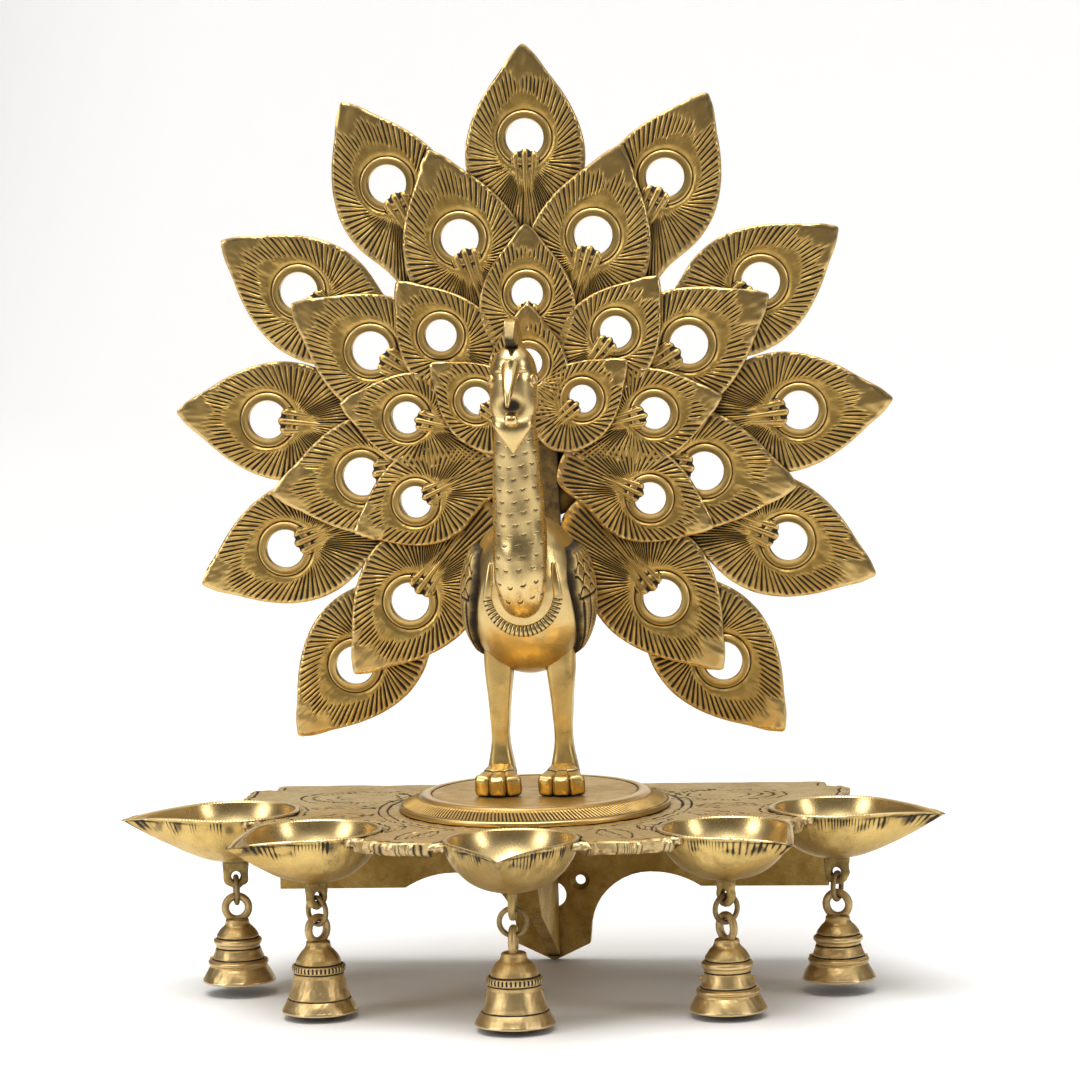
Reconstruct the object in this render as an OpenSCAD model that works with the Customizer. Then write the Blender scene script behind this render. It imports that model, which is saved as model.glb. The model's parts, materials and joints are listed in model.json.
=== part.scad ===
/* [Plate] */
// Height of the plate's top face above the tip of the wall tongue
plate_h = 61.5; // [58:0.5:66]
// Thickness of the cast plate
plate_t = 4.5; // [3.5:0.5:6]
// Half width of the plate at the wall
plate_hw = 95.5; // [93:0.5:98]
// Radius of the plate's rounded front
plate_r = 110; // [108:0.5:112]

/* [Oil cups] */
// Radius of the round bowl at its rim
cup_r = 22; // [20:0.5:23]
// Depth of the bowl outside, from its rim
cup_depth = 17.3; // [16:0.1:18]
// Reach of the pouring spout from the bowl's centre
cup_reach = 37.5; // [34:0.5:40]
// Wall thickness of a cup
cup_wall = 1.8; // [1.4:0.1:2.2]

/* [Wall panel] */
// Thickness of the panel that lies against the wall
panel_t = 3.5; // [3:0.25:4.5]
// Half width of the tongue that hangs from the panel
tongue_hw = 12.5; // [11:0.5:14]
// Radius of the two wall screw holes
wall_hole_r = 1.75; // [1.5:0.05:2]
// Distance between the two wall screw holes
wall_hole_gap = 19; // [18:0.5:21]

/* [Pedestal] */
// Radius of the round pedestal
disc_r = 45.5; // [42:0.5:47]
// Height of the pedestal
disc_t = 5.5; // [4.5:0.5:6.5]

/* [Tail] */
// Height of the fan's centre above the plate
fan_h = 120.5; // [118:0.5:123]
// Thickness of one feather
feather_t = 2.6; // [2.2:0.1:3.2]
// Step forward from one row of feathers to the next
row_step = 2.2; // [1.8:0.1:2.4]

/* [Bells] */
// Radius of the wire that a ring link is bent from
ring_wire_r = 0.9; // [0.8:0.05:1]
// Radius of a ring link, to the middle of its wire
ring_r = 4.4; // [4.2:0.1:4.8]
// Radius of the crown loop, to the middle of its bar
loop_r = 3.9; // [3.7:0.1:4.2]
// Radius of the crown loop's bar
loop_bar_r = 1.3; // [1.1:0.1:1.4]
// Radius of the clapper's cross pin
pin_r = 0.7; // [0.6:0.05:0.8]

/* [Hidden] */

$fn = 96;
eps = 0.01;

// Heights are measured from the tongue's tip; the frame's origin lies between the wall screws
wall_hole_h = 28;
plate_z = plate_h - wall_hole_h;
tip_z = -wall_hole_h;
under_z = plate_z - plate_t;

// Plate
disc_y = -50;
plate_r_y = plate_r - 130;
ear_hw = 104;
ear_back = 12;
scallop_r = 22;
scallop_in = 4;
foot_x = 10.5;
foot_y = -52;
foot_screw_r = 2;
foot_head_r = 3.6;
foot_head_t = 2.4;
foot_screw_up = 12;

// Cups: bowl centre x and y, and the spout's turn from straight ahead, for each cup
CUPS = [[-101, -58, -75], [-67, -98.5, -40], [0, -120, 0], [67, -98.5, 40], [101, -58, 75]];
cup_rim_up = 0.8;
spout_drop = 1.5;
spout_r = 0.6;
lug_r = 4.4;
lug_t = 2.4;
lug_hole_r = 1.6;
lug_hole_down = 21.5;
lug_z = plate_z - lug_hole_down;

// Wall panel
panel_end_h = 25.7;
arch_x = 34;
arch_top_h = 31;
arch_in_r = 21;
arch_out_r = 32;
arch_end_a = 57;
arc_steps = 10;
tongue_side_h = 6;
slot_r = 4.6;
slot_h = 23;
slot_foot_h = 15.5;
wall_counter_r = 3.4;
wall_counter_t = 1.6;

// Rib: outline of the gusset in depth and height above the tongue's tip
rib_t = 4;
rib_reach = 78;
RIB = [[-panel_t, 1.5], [-21, 9.5], [-58, 26], [-rib_reach, plate_h - plate_t - 6],
       [-rib_reach, plate_h - plate_t], [-panel_t, plate_h - plate_t]];

// Peacock
body_r = 20.3;
body_half = 25;
body_y = -53;
body_up = 70;
body_lean = 10;
leg_w = 7;
leg_d = 8;
head_y = -78;
head_up = 142;
head_r = 6.9;
sole_z = plate_z + disc_t;

// Tail: for each row the number of feathers on one side, whether one stands at the top,
// first angle, angle step, tip radius, stretch upwards, tip to eye, half width, hole radius
ROWS = [[5, true, 28, 28, 128, 6, 31.5, 20.5, 6.5],
        [4, false, 18, 41, 98, 8, 31.5, 21, 6.5],
        [3, true, 38.5, 38.5, 70, 4, 23.5, 16.5, 5.4],
        [1, true, 50, 50, 44, 3.5, 20, 14, 4.8]];
fan_back_y = -27.5;
fan_z = plate_z + fan_h;
hub_r = 26;
stem_hw = 9;
stem_t = 7.5;
seat_gap = 0.3;
tail_screw_up = 88;
tail_screw_r = 2;
tail_head_r = 4;
tail_head_t = 2.4;
tail_screw_tip_y = -52;

// Bells: mouth radius, height from mouth to neck, clapper pin's height and half length, ball radius, ball drop
BELLS = [[12.4, 21.2, 7.6, 9.8, 4.5, 5.4], [12.6, 23.4, 10.6, 8.8, 4.2, 5.2], [13.2, 23.4, 10.6, 9.2, 4.2, 5.2],
         [12.8, 23.4, 10.6, 8.9, 4.2, 5.2], [12.4, 21.2, 7.6, 9.8, 4.5, 5.4]];
ring_seat = 0.4;
touch_gap = 0.05;
ring_z = -ring_seat - ring_r;
loop_z = -ring_seat - 2 * ring_r + ring_wire_r + loop_bar_r + touch_gap - loop_r;
neck_r = 4.1;
neck_z = loop_z - loop_r + 0.2;
eye_gap = 0.08;
eye_r = 2;
eye_w = 2.4;
lip = 1.2;

// Places a child in the local frame of cup n, with the spout along -Y
module at_cup(n, z) {
    c = CUPS[n - 1];
    translate([c[0], c[1], z])
        rotate([0, 0, c[2]])
            children();
}

// A flat ring of round wire about Z
module torus(r, bar) {
    rotate_extrude()
        translate([r, 0])
            circle(r = bar, $fn = 32);
}

// ---- plate ----

module cup_outline(grow) {
    hull() {
        circle(r = cup_r + grow, $fn = 64);
        translate([0, -cup_reach])
            circle(r = spout_r, $fn = 16);
    }
}

module plate_outline() {
    difference() {
        union() {
            intersection() {
                translate([0, plate_r_y])
                    circle(r = plate_r);
                translate([-ear_hw, -140])
                    square([2 * ear_hw, 140 - ear_back]);
            }
            translate([-plate_hw, -20])
                square([2 * plate_hw, 20]);
        }
        for (n = [1:5])
            translate([CUPS[n - 1][0], CUPS[n - 1][1]])
                rotate([0, 0, CUPS[n - 1][2]])
                    cup_outline(-0.6);
        for (a = [-47, -16, 16, 47])
            translate([0, plate_r_y])
                rotate([0, 0, a])
                    translate([0, -plate_r - scallop_r + scallop_in])
                        circle(r = scallop_r);
    }
}

module base_plate() {
    color("darkkhaki")
        difference() {
            translate([0, 0, under_z])
                linear_extrude(plate_t)
                    plate_outline();
            for (side = [-1, 1])
                translate([side * foot_x, foot_y, under_z - 1])
                    cylinder(r = foot_screw_r, h = plate_t + 2);
        }
}

module pedestal_disc() {
    color("goldenrod")
        difference() {
            translate([0, disc_y, plate_z])
                rotate_extrude()
                    polygon([[0, 0], [disc_r, 0], [disc_r, 1.6], [disc_r - 1.2, 2.2], [disc_r - 7, 4.6],
                             [disc_r - 10, disc_t], [0, disc_t]]);
            for (side = [-1, 1])
                translate([side * foot_x, foot_y, plate_z - 1])
                    cylinder(r = foot_screw_r, h = disc_t + 2);
        }
}

module foot_screws() {
    color("gray")
        for (side = [-1, 1])
            translate([side * foot_x, foot_y, under_z]) {
                cylinder(r = foot_screw_r, h = plate_t + disc_t + foot_screw_up);
                translate([0, 0, -foot_head_t])
                    cylinder(r = foot_head_r, h = foot_head_t);
            }
}

// ---- cups ----

// A round bowl drawn out to a pointed spout, filled up to its rim
module bowl_solid(r, depth, reach, tip_r, drop, tip_t) {
    hull() {
        rotate_extrude($fn = 40)
            polygon([[0, -depth], [0.42 * r, -0.93 * depth], [0.74 * r, -0.7 * depth],
                     [0.93 * r, -0.36 * depth], [r, 0], [0, 0]]);
        translate([0, -reach, -drop - tip_t])
            cylinder(r = tip_r, h = tip_t, $fn = 16);
        translate([0, -reach * 0.7, -0.43 * depth])
            sphere(r = tip_r, $fn = 16);
    }
}

module oil_cup(n) {
    color("gold")
        at_cup(n, plate_z + cup_rim_up)
            union() {
                difference() {
                    bowl_solid(cup_r, cup_depth, cup_reach, spout_r, spout_drop, 1);
                    translate([0, 0, eps])
                        bowl_solid(cup_r - cup_wall, cup_depth - cup_wall, cup_reach - 5, 0.4, 0, 2.4);
                }
                cup_lug();
            }
}

// Hanging eye under the bowl, thin across the spout's line
module cup_lug() {
    hole = -cup_rim_up - lug_hole_down;
    difference() {
        translate([-lug_t / 2, 0, hole])
            rotate([90, 0, 90])
                linear_extrude(lug_t)
                    union() {
                        circle(r = lug_r);
                        translate([-lug_r, 0])
                            square([2 * lug_r, -hole - cup_depth + 1.2]);
                    }
        translate([-lug_t, 0, hole])
            rotate([0, 90, 0])
                cylinder(r = lug_hole_r, h = 2 * lug_t);
    }
}

// ---- wall bracket ----

// Points of an arc in the panel's plane
function arc(x, h, r, from, to) =
    [for (i = [0:arc_steps]) let (a = from + (to - from) * i / arc_steps) [x + r * cos(a), h + r * sin(a)]];

// Right half of the panel: tongue, arch and plain end
function panel_side() =
    concat([[0, 0], [tongue_hw, tongue_side_h]],
           arc(arch_x, arch_top_h - arch_in_r, arch_in_r, 180, 90),
           arc(arch_x, arch_top_h - arch_out_r, arch_out_r, 84, arch_end_a),
           [[plate_hw, panel_end_h], [plate_hw, plate_h - plate_t]]);

module panel_outline() {
    side = panel_side();
    difference() {
        polygon(concat(side, [for (i = [len(side) - 1:-1:1]) [-side[i][0], side[i][1]]]));
        translate([0, slot_h])
            circle(r = slot_r);
        polygon([[-slot_r * 0.7, slot_h - 1.5], [slot_r * 0.7, slot_h - 1.5], [0, slot_foot_h]]);
    }
}

module wall_panel() {
    color("olive")
        difference() {
            translate([0, 0, tip_z])
                rotate([90, 0, 0])
                    linear_extrude(panel_t)
                        panel_outline();
            for (side = [-1, 1])
                translate([side * wall_hole_gap / 2, 0, 0])
                    rotate([90, 0, 0]) {
                        translate([0, 0, -1])
                            cylinder(r = wall_hole_r, h = panel_t + 2);
                        translate([0, 0, panel_t - wall_counter_t])
                            cylinder(r1 = wall_hole_r, r2 = wall_counter_r, h = wall_counter_t + eps);
                    }
        }
}

module bracket_rib() {
    color("darkolivegreen")
        translate([-rib_t / 2, 0, tip_z])
            rotate([90, 0, 90])
                linear_extrude(rib_t)
                    polygon(RIB);
}

// ---- peacock ----

module leg(side) {
    translate([side * foot_x - leg_w / 2, foot_y - leg_d / 2, sole_z])
        cube([leg_w, leg_d, body_up - 18]);
    for (toe = [-1, 0, 1])
        translate([side * foot_x, foot_y - 3, sole_z])
            rotate([0, 0, toe * 20])
                toe();
    translate([side * foot_x, foot_y + 4, sole_z + 2])
        rotate([-90, 0, 0])
            cylinder(r = 2, h = 6);
}

module toe() {
    translate([-2.4, -10.5, 0])
        cube([4.8, 11, 5.4]);
    translate([-2.4, -10.5, 2.7])
        rotate([0, 90, 0])
            cylinder(r = 2.7, h = 4.8);
}

module egg(r, half) {
    rotate_extrude()
        intersection() {
            translate([-0.28 * r, 0])
                circle(r = 1.28 * r);
            translate([0, -half])
                square([r, 2 * half]);
        }
}

module peacock() {
    color("gold")
        difference() {
            union() {
                translate([0, body_y, sole_z + body_up])
                    rotate([body_lean, 0, 0])
                        egg(body_r, body_half);
                for (side = [-1, 1])
                    leg(side);
                neck();
                head();
            }
            for (side = [-1, 1])
                translate([side * foot_x, foot_y, sole_z - 1])
                    cylinder(r = foot_screw_r, h = foot_screw_up + 1);
            translate([0, tail_screw_tip_y, plate_z + tail_screw_up])
                rotate([-90, 0, 0])
                    cylinder(r = tail_screw_r, h = 40);
            translate([-stem_hw - seat_gap, fan_back_y - stem_t, plate_z + tail_screw_up - stem_hw - seat_gap])
                cube([2 * (stem_hw + seat_gap), 20, 60]);
        }
}

module neck() {
    hull() {
        translate([0, body_y - 12, sole_z + 72])
            sphere(r = 10.5, $fn = 32);
        translate([0, body_y - 20, sole_z + 88])
            sphere(r = 8.6, $fn = 32);
    }
    hull() {
        translate([0, body_y - 20, sole_z + 88])
            sphere(r = 8.6, $fn = 32);
        translate([0, head_y, sole_z + head_up - 14])
            sphere(r = 6.9, $fn = 32);
    }
}

module head() {
    hull() {
        translate([0, head_y, sole_z + head_up])
            sphere(r = head_r, $fn = 32);
        translate([0, head_y, sole_z + head_up - 14])
            sphere(r = head_r, $fn = 32);
    }
    translate([0, head_y - 4, sole_z + head_up - 5])
        rotate([112, 0, 0])
            cylinder(r1 = 5, r2 = 0.8, h = 20);
    translate([-2.6, head_y - 5, sole_z + head_up + 4])
        cube([5.2, 10, 9]);
}

// ---- tail ----

// Outline of one feather, tip up, with its eye at the origin
function feather_side(tip, hw, root) =
    [[0, tip], [0.42 * hw, 0.68 * tip], [0.84 * hw, 0.32 * tip], [hw, -0.04 * tip],
     [0.94 * hw, -0.36 * tip], [0.7 * hw, -0.8 * tip], [0.4 * hw, -root]];

module feather(row) {
    side = feather_side(row[6], row[7], row[4] - row[6] > 30 ? 1.4 * row[6] : row[6]);
    polygon(concat(side, [for (i = [len(side) - 1:-1:1]) [-side[i][0], side[i][1]]]));
}

function row_angles(row) =
    concat(row[1] ? [0] : [], [for (i = [0:row[0] - 1], s = [-1, 1]) s * (row[2] + i * row[3])]);

// Places a child at the eye of every feather in a row, tip outwards
module at_eyes(row) {
    for (a = row_angles(row))
        rotate([0, 0, -a])
            translate([0, row[4] + row[5] * cos(2 * a) - row[6]])
                children();
}

module feather_row(k) {
    row = ROWS[k];
    translate([0, fan_back_y - k * row_step, fan_z])
        rotate([90, 0, 0])
            linear_extrude(feather_t)
                at_eyes(row)
                    feather(row);
}

// The eyes are pierced through every row that lies behind them
module eye_holes() {
    translate([0, fan_back_y + 5, fan_z])
        rotate([90, 0, 0])
            linear_extrude(20)
                for (row = ROWS)
                    at_eyes(row)
                        circle(r = row[8]);
}

module tail_fan() {
    color("peru")
        difference() {
            union() {
                for (k = [0:len(ROWS) - 1])
                    feather_row(k);
                translate([0, fan_back_y, fan_z])
                    rotate([90, 0, 0])
                        cylinder(r = hub_r, h = feather_t);
                tail_stem();
            }
            eye_holes();
            translate([0, 0, plate_z + tail_screw_up])
                rotate([90, 0, 0])
                    cylinder(r = tail_screw_r, h = 60);
        }
}

// Stem that joins the fan to the bird's rump
module tail_stem() {
    translate([0, fan_back_y, plate_z + tail_screw_up])
        rotate([90, 0, 0])
            linear_extrude(stem_t)
                union() {
                    circle(r = stem_hw);
                    translate([-stem_hw, 0])
                        square([2 * stem_hw, fan_h - tail_screw_up]);
                }
}

module tail_screw() {
    color("gray")
        translate([0, tail_screw_tip_y, plate_z + tail_screw_up])
            rotate([-90, 0, 0]) {
                cylinder(r = tail_screw_r, h = fan_back_y - tail_screw_tip_y);
                translate([0, 0, fan_back_y - tail_screw_tip_y])
                    cylinder(r = tail_head_r, h = tail_head_t);
            }
}

// ---- bells ----

module ring_link(n) {
    color("sienna")
        at_cup(n, lug_z + ring_z)
            rotate([90, 0, 0])
                torus(ring_r, ring_wire_r);
}

// Half section of the bell: mouth at height 0, neck at height h
function bell_outside(m, h) =
    [[m - lip, 0], [m, 0], [m, 1], [m - 1.5, 4], [0.8 * m, 6.2], [0.82 * m, 6.8], [0.76 * m, 7.4], [0.64 * m, 11],
     [0.6 * m, 0.58 * h], [0.66 * m, 0.63 * h], [0.66 * m, 0.68 * h], [0.53 * m, 0.78 * h],
     [neck_r, h - 1.2], [neck_r, h], [0, h]];
function bell_inside(m, h) =
    [[0, 0.82 * h], [0.28 * m, 0.78 * h], [0.44 * m, 0.62 * h], [0.5 * m, 11], [0.6 * m, 8], [m - 3, 4.2]];

module bell(n) {
    b = BELLS[n - 1];
    mouth_z = lug_z + neck_z - b[1];
    color("tan") {
        difference() {
            union() {
                at_cup(n, mouth_z)
                    rotate_extrude()
                        polygon(concat(bell_outside(b[0], b[1]), bell_inside(b[0], b[1])));
                at_cup(n, lug_z + loop_z)
                    rotate([0, 90, 0])
                        torus(loop_r, loop_bar_r);
            }
            translate([CUPS[n - 1][0] - 20, CUPS[n - 1][1], mouth_z + b[2]])
                rotate([0, 90, 0])
                    cylinder(r = pin_r, h = 40);
        }
    }
}

module clapper_pin(n) {
    b = BELLS[n - 1];
    half = b[3];
    color("dimgray")
        translate([CUPS[n - 1][0] - half, CUPS[n - 1][1], lug_z + neck_z - b[1] + b[2]])
            rotate([0, 90, 0])
                cylinder(r = pin_r, h = 2 * half);
}

module clapper(n) {
    b = BELLS[n - 1];
    color("darkslategray")
        translate([CUPS[n - 1][0], CUPS[n - 1][1], lug_z + neck_z - b[1] + b[2]])
            difference() {
                union() {
                    translate([-eye_w / 2, 0, 0])
                        rotate([0, 90, 0])
                            cylinder(r = eye_r, h = eye_w);
                    translate([0, 0, -b[5]])
                        sphere(r = b[4]);
                    translate([0, 0, -b[5]])
                        cylinder(r = 1, h = b[5] - pin_r - 0.2);
                }
                translate([-eye_w, 0, 0])
                    rotate([0, 90, 0])
                        cylinder(r = pin_r + eye_gap, h = 2 * eye_w);
            }
}

base_plate();
wall_panel();
bracket_rib();
pedestal_disc();
peacock();
foot_screws();
tail_fan();
tail_screw();
for (n = [1:5]) {
    oil_cup(n);
    ring_link(n);
    bell(n);
    clapper(n);
    clapper_pin(n);
}
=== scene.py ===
"""A cast brass peacock oil lamp, with its cups, bells and fan tail, modelled in millimetres."""

import json
import math
from collections import namedtuple

import bpy
import numpy as np
from bpy.props import FloatProperty, FloatVectorProperty, PointerProperty
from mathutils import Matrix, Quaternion, Vector


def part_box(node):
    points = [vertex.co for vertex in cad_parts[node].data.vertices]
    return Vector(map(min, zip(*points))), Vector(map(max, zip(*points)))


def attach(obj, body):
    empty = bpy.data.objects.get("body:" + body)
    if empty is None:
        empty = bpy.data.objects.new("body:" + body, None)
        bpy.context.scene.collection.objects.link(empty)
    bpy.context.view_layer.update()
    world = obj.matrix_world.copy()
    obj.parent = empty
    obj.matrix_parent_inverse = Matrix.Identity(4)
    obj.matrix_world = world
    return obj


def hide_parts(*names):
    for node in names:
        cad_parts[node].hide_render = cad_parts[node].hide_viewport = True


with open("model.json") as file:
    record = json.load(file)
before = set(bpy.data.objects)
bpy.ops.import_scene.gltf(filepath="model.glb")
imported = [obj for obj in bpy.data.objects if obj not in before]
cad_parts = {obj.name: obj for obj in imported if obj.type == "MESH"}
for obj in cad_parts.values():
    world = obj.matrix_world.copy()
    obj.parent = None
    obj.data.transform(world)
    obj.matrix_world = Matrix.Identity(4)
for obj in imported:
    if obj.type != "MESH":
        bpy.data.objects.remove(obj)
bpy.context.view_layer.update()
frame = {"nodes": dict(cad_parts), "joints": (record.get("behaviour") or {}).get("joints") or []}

bl_info = {
    "name": "Peacock oil lamp",
    "version": (1, 0, 0),
    "blender": (4, 5, 0),
    "location": "View3D > Sidebar > Lamp",
    "description": "Builds a cast brass peacock oil lamp and its stage",
    "category": "Object",
}

MM = 0.001
SEED = 7
SHARP = math.radians(42)


# ---- places, in millimetres ----


def box_mm(node):
    """Lowest and highest corner of a node of the frame."""
    low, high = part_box(node)
    return np.array(low) / MM, np.array(high) / MM


def pivot(joint):
    """Place and axis of a joint of the frame."""
    found = next(j for j in frame["joints"] if j["name"] == joint)
    return np.array(found["pos_m"]) / MM, np.array(found["axis"])


PLATE_LOW, PLATE_HIGH = box_mm("base_plate")
PANEL_LOW, PANEL_HIGH = box_mm("wall_panel")
DISC_LOW, DISC_HIGH = box_mm("pedestal_disc")
FAN_LOW, FAN_HIGH = box_mm("tail_fan")
DISC_MID = (DISC_LOW + DISC_HIGH) / 2
STEM_LOW = box_mm("tail_screw")[0][2] - 5
CUP_RIM = box_mm("oil_cup_3")[1][2]
CUPS = range(1, 6)


# ---- settings ----


def length(name, millimetres, about):
    """A length that a user may set."""
    return FloatProperty(
        name=name, description=about, default=millimetres * MM, min=0, precision=5, unit="LENGTH"
    )


def colour(name, value, about):
    """A colour that a user may set."""
    return FloatVectorProperty(
        name=name, description=about, default=value, size=3, min=0, max=1, subtype="COLOR"
    )


class LampSizes(bpy.types.PropertyGroup):
    """Sizes of the lamp's details"""

    groove_pitch: length("Barb pitch", 2.35, "Distance between engraved barbs at a feather's edge")
    groove_depth: length("Barb depth", 0.5, "Depth of the engraved barbs")
    feather_dome: length("Feather dome", 0.7, "How far a feather swells forward round its eye")
    plate_ragged: length("Plate raggedness", 0.55, "How far the plate's cast edge wanders")
    plate_cut: length("Plate cut", 0.4, "Depth of the leaf lines cut into the plate")
    knurl_pitch: length("Knurl pitch", 1.3, "Distance between the cuts round the pedestal")
    scale_pitch: length("Neck mark pitch", 3.9, "Distance between the crescent marks on the neck")
    cup_wall: length("Cup wall", 1.8, "Thickness of a cup's wall")


class LampColours(bpy.types.PropertyGroup):
    """Colours of the lamp's metals and of the stage"""

    bright: colour("Bright brass", (0.7, 0.5, 0.175), "Polished brass on the cups and the bird")
    golden: colour("Golden brass", (0.63, 0.415, 0.115), "Half-polished brass on the tail")
    dull: colour("Dull brass", (0.62, 0.465, 0.22), "Handled, matt brass on the plate")
    brown: colour("Brown brass", (0.5, 0.355, 0.15), "Toned brass on the ring links")
    # Also the colour of the painted shade in corners, between parts and at the feathers' roots.
    soot_and_shade: colour("Soot", (0.028, 0.018, 0.01), "What has gathered in the hollows")
    satin: colour("Satin brass", (0.66, 0.475, 0.21), "Turned brass on the bells")
    iron: colour("Iron", (0.1, 0.085, 0.07), "The clappers")
    steel: colour("Steel", (0.42, 0.4, 0.37), "The screws")
    floor: colour("Floor", (0.86, 0.855, 0.845), "The floor and the backdrop")
    shade: colour("Shade", (0.24, 0.23, 0.22), "The backdrop in front of the lamp and at its sides")


def settings():
    """The sizes and colours in use."""
    return bpy.context.scene.lamp_sizes, bpy.context.scene.lamp_colours


# ---- numbers along a curve ----


def soft_step(x, low, high):
    """0 below low, 1 above high, with a soft step between them."""
    t = np.clip((np.asarray(x, float) - low) / (high - low), 0, 1)
    return t * t * (3 - 2 * t)


def curve(stops, t):
    """A smooth curve through stops, which are (t, value, ...) rows, read at t."""
    stops = np.array(stops, float)
    at, values = stops[:, 0], stops[:, 1:]
    slope = np.gradient(values, at, axis=0)
    t = np.clip(np.asarray(t, float), at[0], at[-1])
    i = np.clip(np.searchsorted(at, t, side="right") - 1, 0, len(at) - 2)
    h = (at[i + 1] - at[i])[..., None]
    s = ((t - at[i]) / (at[i + 1] - at[i]))[..., None]
    start = (2 * s**3 - 3 * s**2 + 1) * values[i] + (s**3 - 2 * s**2 + s) * h * slope[i]
    end = (3 * s**2 - 2 * s**3) * values[i + 1] + (s**3 - s**2) * h * slope[i + 1]
    return start + end


def along(points, count, closed=False):
    """count points spread evenly on a smooth line through points."""
    points = np.array(points, float)
    if closed:
        points = np.concatenate([points[-3:], points, points[:3]])
    gaps = np.linalg.norm(np.diff(points, axis=0), axis=1)
    at = np.concatenate([[0], np.cumsum(gaps)])
    first, last = (at[3], at[-3]) if closed else (at[0], at[-1])
    stops = np.column_stack([at, points])
    fine = curve(stops, np.linspace(first, last, 40 * len(points)))
    run = np.concatenate([[0], np.cumsum(np.linalg.norm(np.diff(fine, axis=0), axis=1))])
    want = np.linspace(0, run[-1], count, endpoint=not closed)
    return np.column_stack([np.interp(want, run, fine[:, k]) for k in range(fine.shape[1])])


def waves(points, seed, size, count=7):
    """Gentle lumps, about -1 to 1, that vary over a distance of size."""
    rng = np.random.default_rng(SEED + seed)
    total = np.zeros(points.shape[:-1])
    for _ in range(count):
        way = rng.normal(size=points.shape[-1])
        way *= 2 * math.pi / (size * np.linalg.norm(way) * rng.uniform(0.7, 1.5))
        total += np.sin(points @ way + rng.uniform(0, 2 * math.pi))
    return total / math.sqrt(count)


def near(x, middle, width):
    """1 where x is middle, falling away over width on both sides."""
    return np.exp(-(((x - middle) / width) ** 2))


def groove(phase, width):
    """1 on whole numbers of phase, falling away over width on both sides."""
    return near(phase, np.round(phase), width)


def bearings(steps):
    """Angles spread evenly round a full turn."""
    return np.arange(steps) * 2 * math.pi / steps


def polar(radius, angle, z=0.0, middle=0.0):
    """Points at a radius and an angle round (0, middle), at a height."""
    x, y = radius * np.cos(angle), radius * np.sin(angle) + middle
    return np.stack(np.broadcast_arrays(x, y, z), -1)


def rounded(values, width):
    """A closed run of values, each averaged with its neighbours over width."""
    k = width // 2
    values = np.concatenate([values[-k:], values, values[:k]])
    return np.convolve(values, np.ones(width) / width, "valid")


def turned(points, degrees, axis):
    """Points turned about a coordinate axis: 0 for X, 1 for Y and 2 for Z."""
    c, s = math.cos(math.radians(degrees)), math.sin(math.radians(degrees))
    a, b = [(1, 2), (2, 0), (0, 1)][axis]
    out = np.array(points, float)
    out[..., a] = c * points[..., a] - s * points[..., b]
    out[..., b] = s * points[..., a] + c * points[..., b]
    return out


# ---- castings ----


class Casting:
    """Gathers closed skins into one mesh, with the two marks that its finish reads.

    hollow is 1 deep in a groove, and also carries painted shade, as at the feathers' roots;
    worn is 1 where hands and polishing keep the metal bright, and also carries painted
    highlight, as on the quills' crowns and the wings.
    """

    def __init__(self):
        self.points, self.faces, self.hollow, self.worn = [], [], [], []
        self.count = 0

    def grid(self, points, hollow=0.0, worn=0.0, wrap=(False, False), flip=False):
        """Adds a grid of points, closed on itself along the axes that wrap names."""
        rows, columns = points.shape[:2]
        first = self.count
        self.count += rows * columns
        self.points.append(points.reshape(-1, 3))
        for store, value in ((self.hollow, hollow), (self.worn, worn)):
            store.append(np.broadcast_to(value, points.shape[:2]).reshape(-1).astype(float))
        i = np.arange(rows if wrap[0] else rows - 1)
        j = np.arange(columns if wrap[1] else columns - 1)
        i, j = [k.ravel() for k in np.meshgrid(i, j, indexing="ij")]
        ni, nj = (i + 1) % rows, (j + 1) % columns
        corners = ((i, j), (i, nj), (ni, nj), (ni, j))
        quads = np.stack([row * columns + column for row, column in corners], 1)
        self.faces += ((quads[:, ::-1] if flip else quads) + first).tolist()

    def tube(self, points, hollow=0.0, worn=0.0, flip=False):
        """Adds a tube whose rings run along axis 1, closed by drawing in both ends."""
        first = self.count
        ends = [points[k].mean(0) + (points[k] - points[k].mean(0)) * 0.05 for k in (0, -1)]
        marks = []
        for value in (hollow, worn):
            value = np.broadcast_to(value, points.shape[:2])
            marks.append(np.concatenate([value[:1], value, value[-1:]]))
        points = np.concatenate([ends[0][None], points, ends[1][None]])
        self.grid(points, *marks, wrap=(False, True), flip=flip)
        ring = np.arange(points.shape[1])
        for cap in (first + ring[::-1], first + (len(points) - 1) * len(ring) + ring):
            self.faces.append((cap[::-1] if flip else cap).tolist())

    def patch(self, points, faces, hollow, worn):
        """Adds points and faces that are already numbered from 0."""
        self.faces += [[k + self.count for k in face] for face in faces]
        self.count += len(points)
        self.points.append(points)
        self.hollow.append(hollow)
        self.worn.append(worn)

    def mesh(self, name):
        """The whole casting as a mesh, with its two marks."""
        mesh = bpy.data.meshes.new(name)
        mesh.from_pydata((np.concatenate(self.points) * MM).tolist(), [], self.faces)
        for mark, values in (("hollow", self.hollow), ("worn", self.worn)):
            layer = mesh.attributes.new(mark, "FLOAT", "POINT")
            layer.data.foreach_set("value", np.clip(np.concatenate(values), 0, 1))
        return mesh

    def build(self, name, finish, body, slot, replaces=()):
        """Makes the mesh object, gives it its finish and lets it ride on its body."""
        mesh = self.mesh(name)
        mesh.shade_smooth()
        mesh.set_sharp_from_angle(angle=SHARP)
        mesh.materials.append(finish)
        piece = bpy.data.objects.new(name, mesh)
        bpy.context.scene.collection.objects.link(piece)
        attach(piece, body)
        if replaces:
            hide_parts(*replaces)
        return piece


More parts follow.
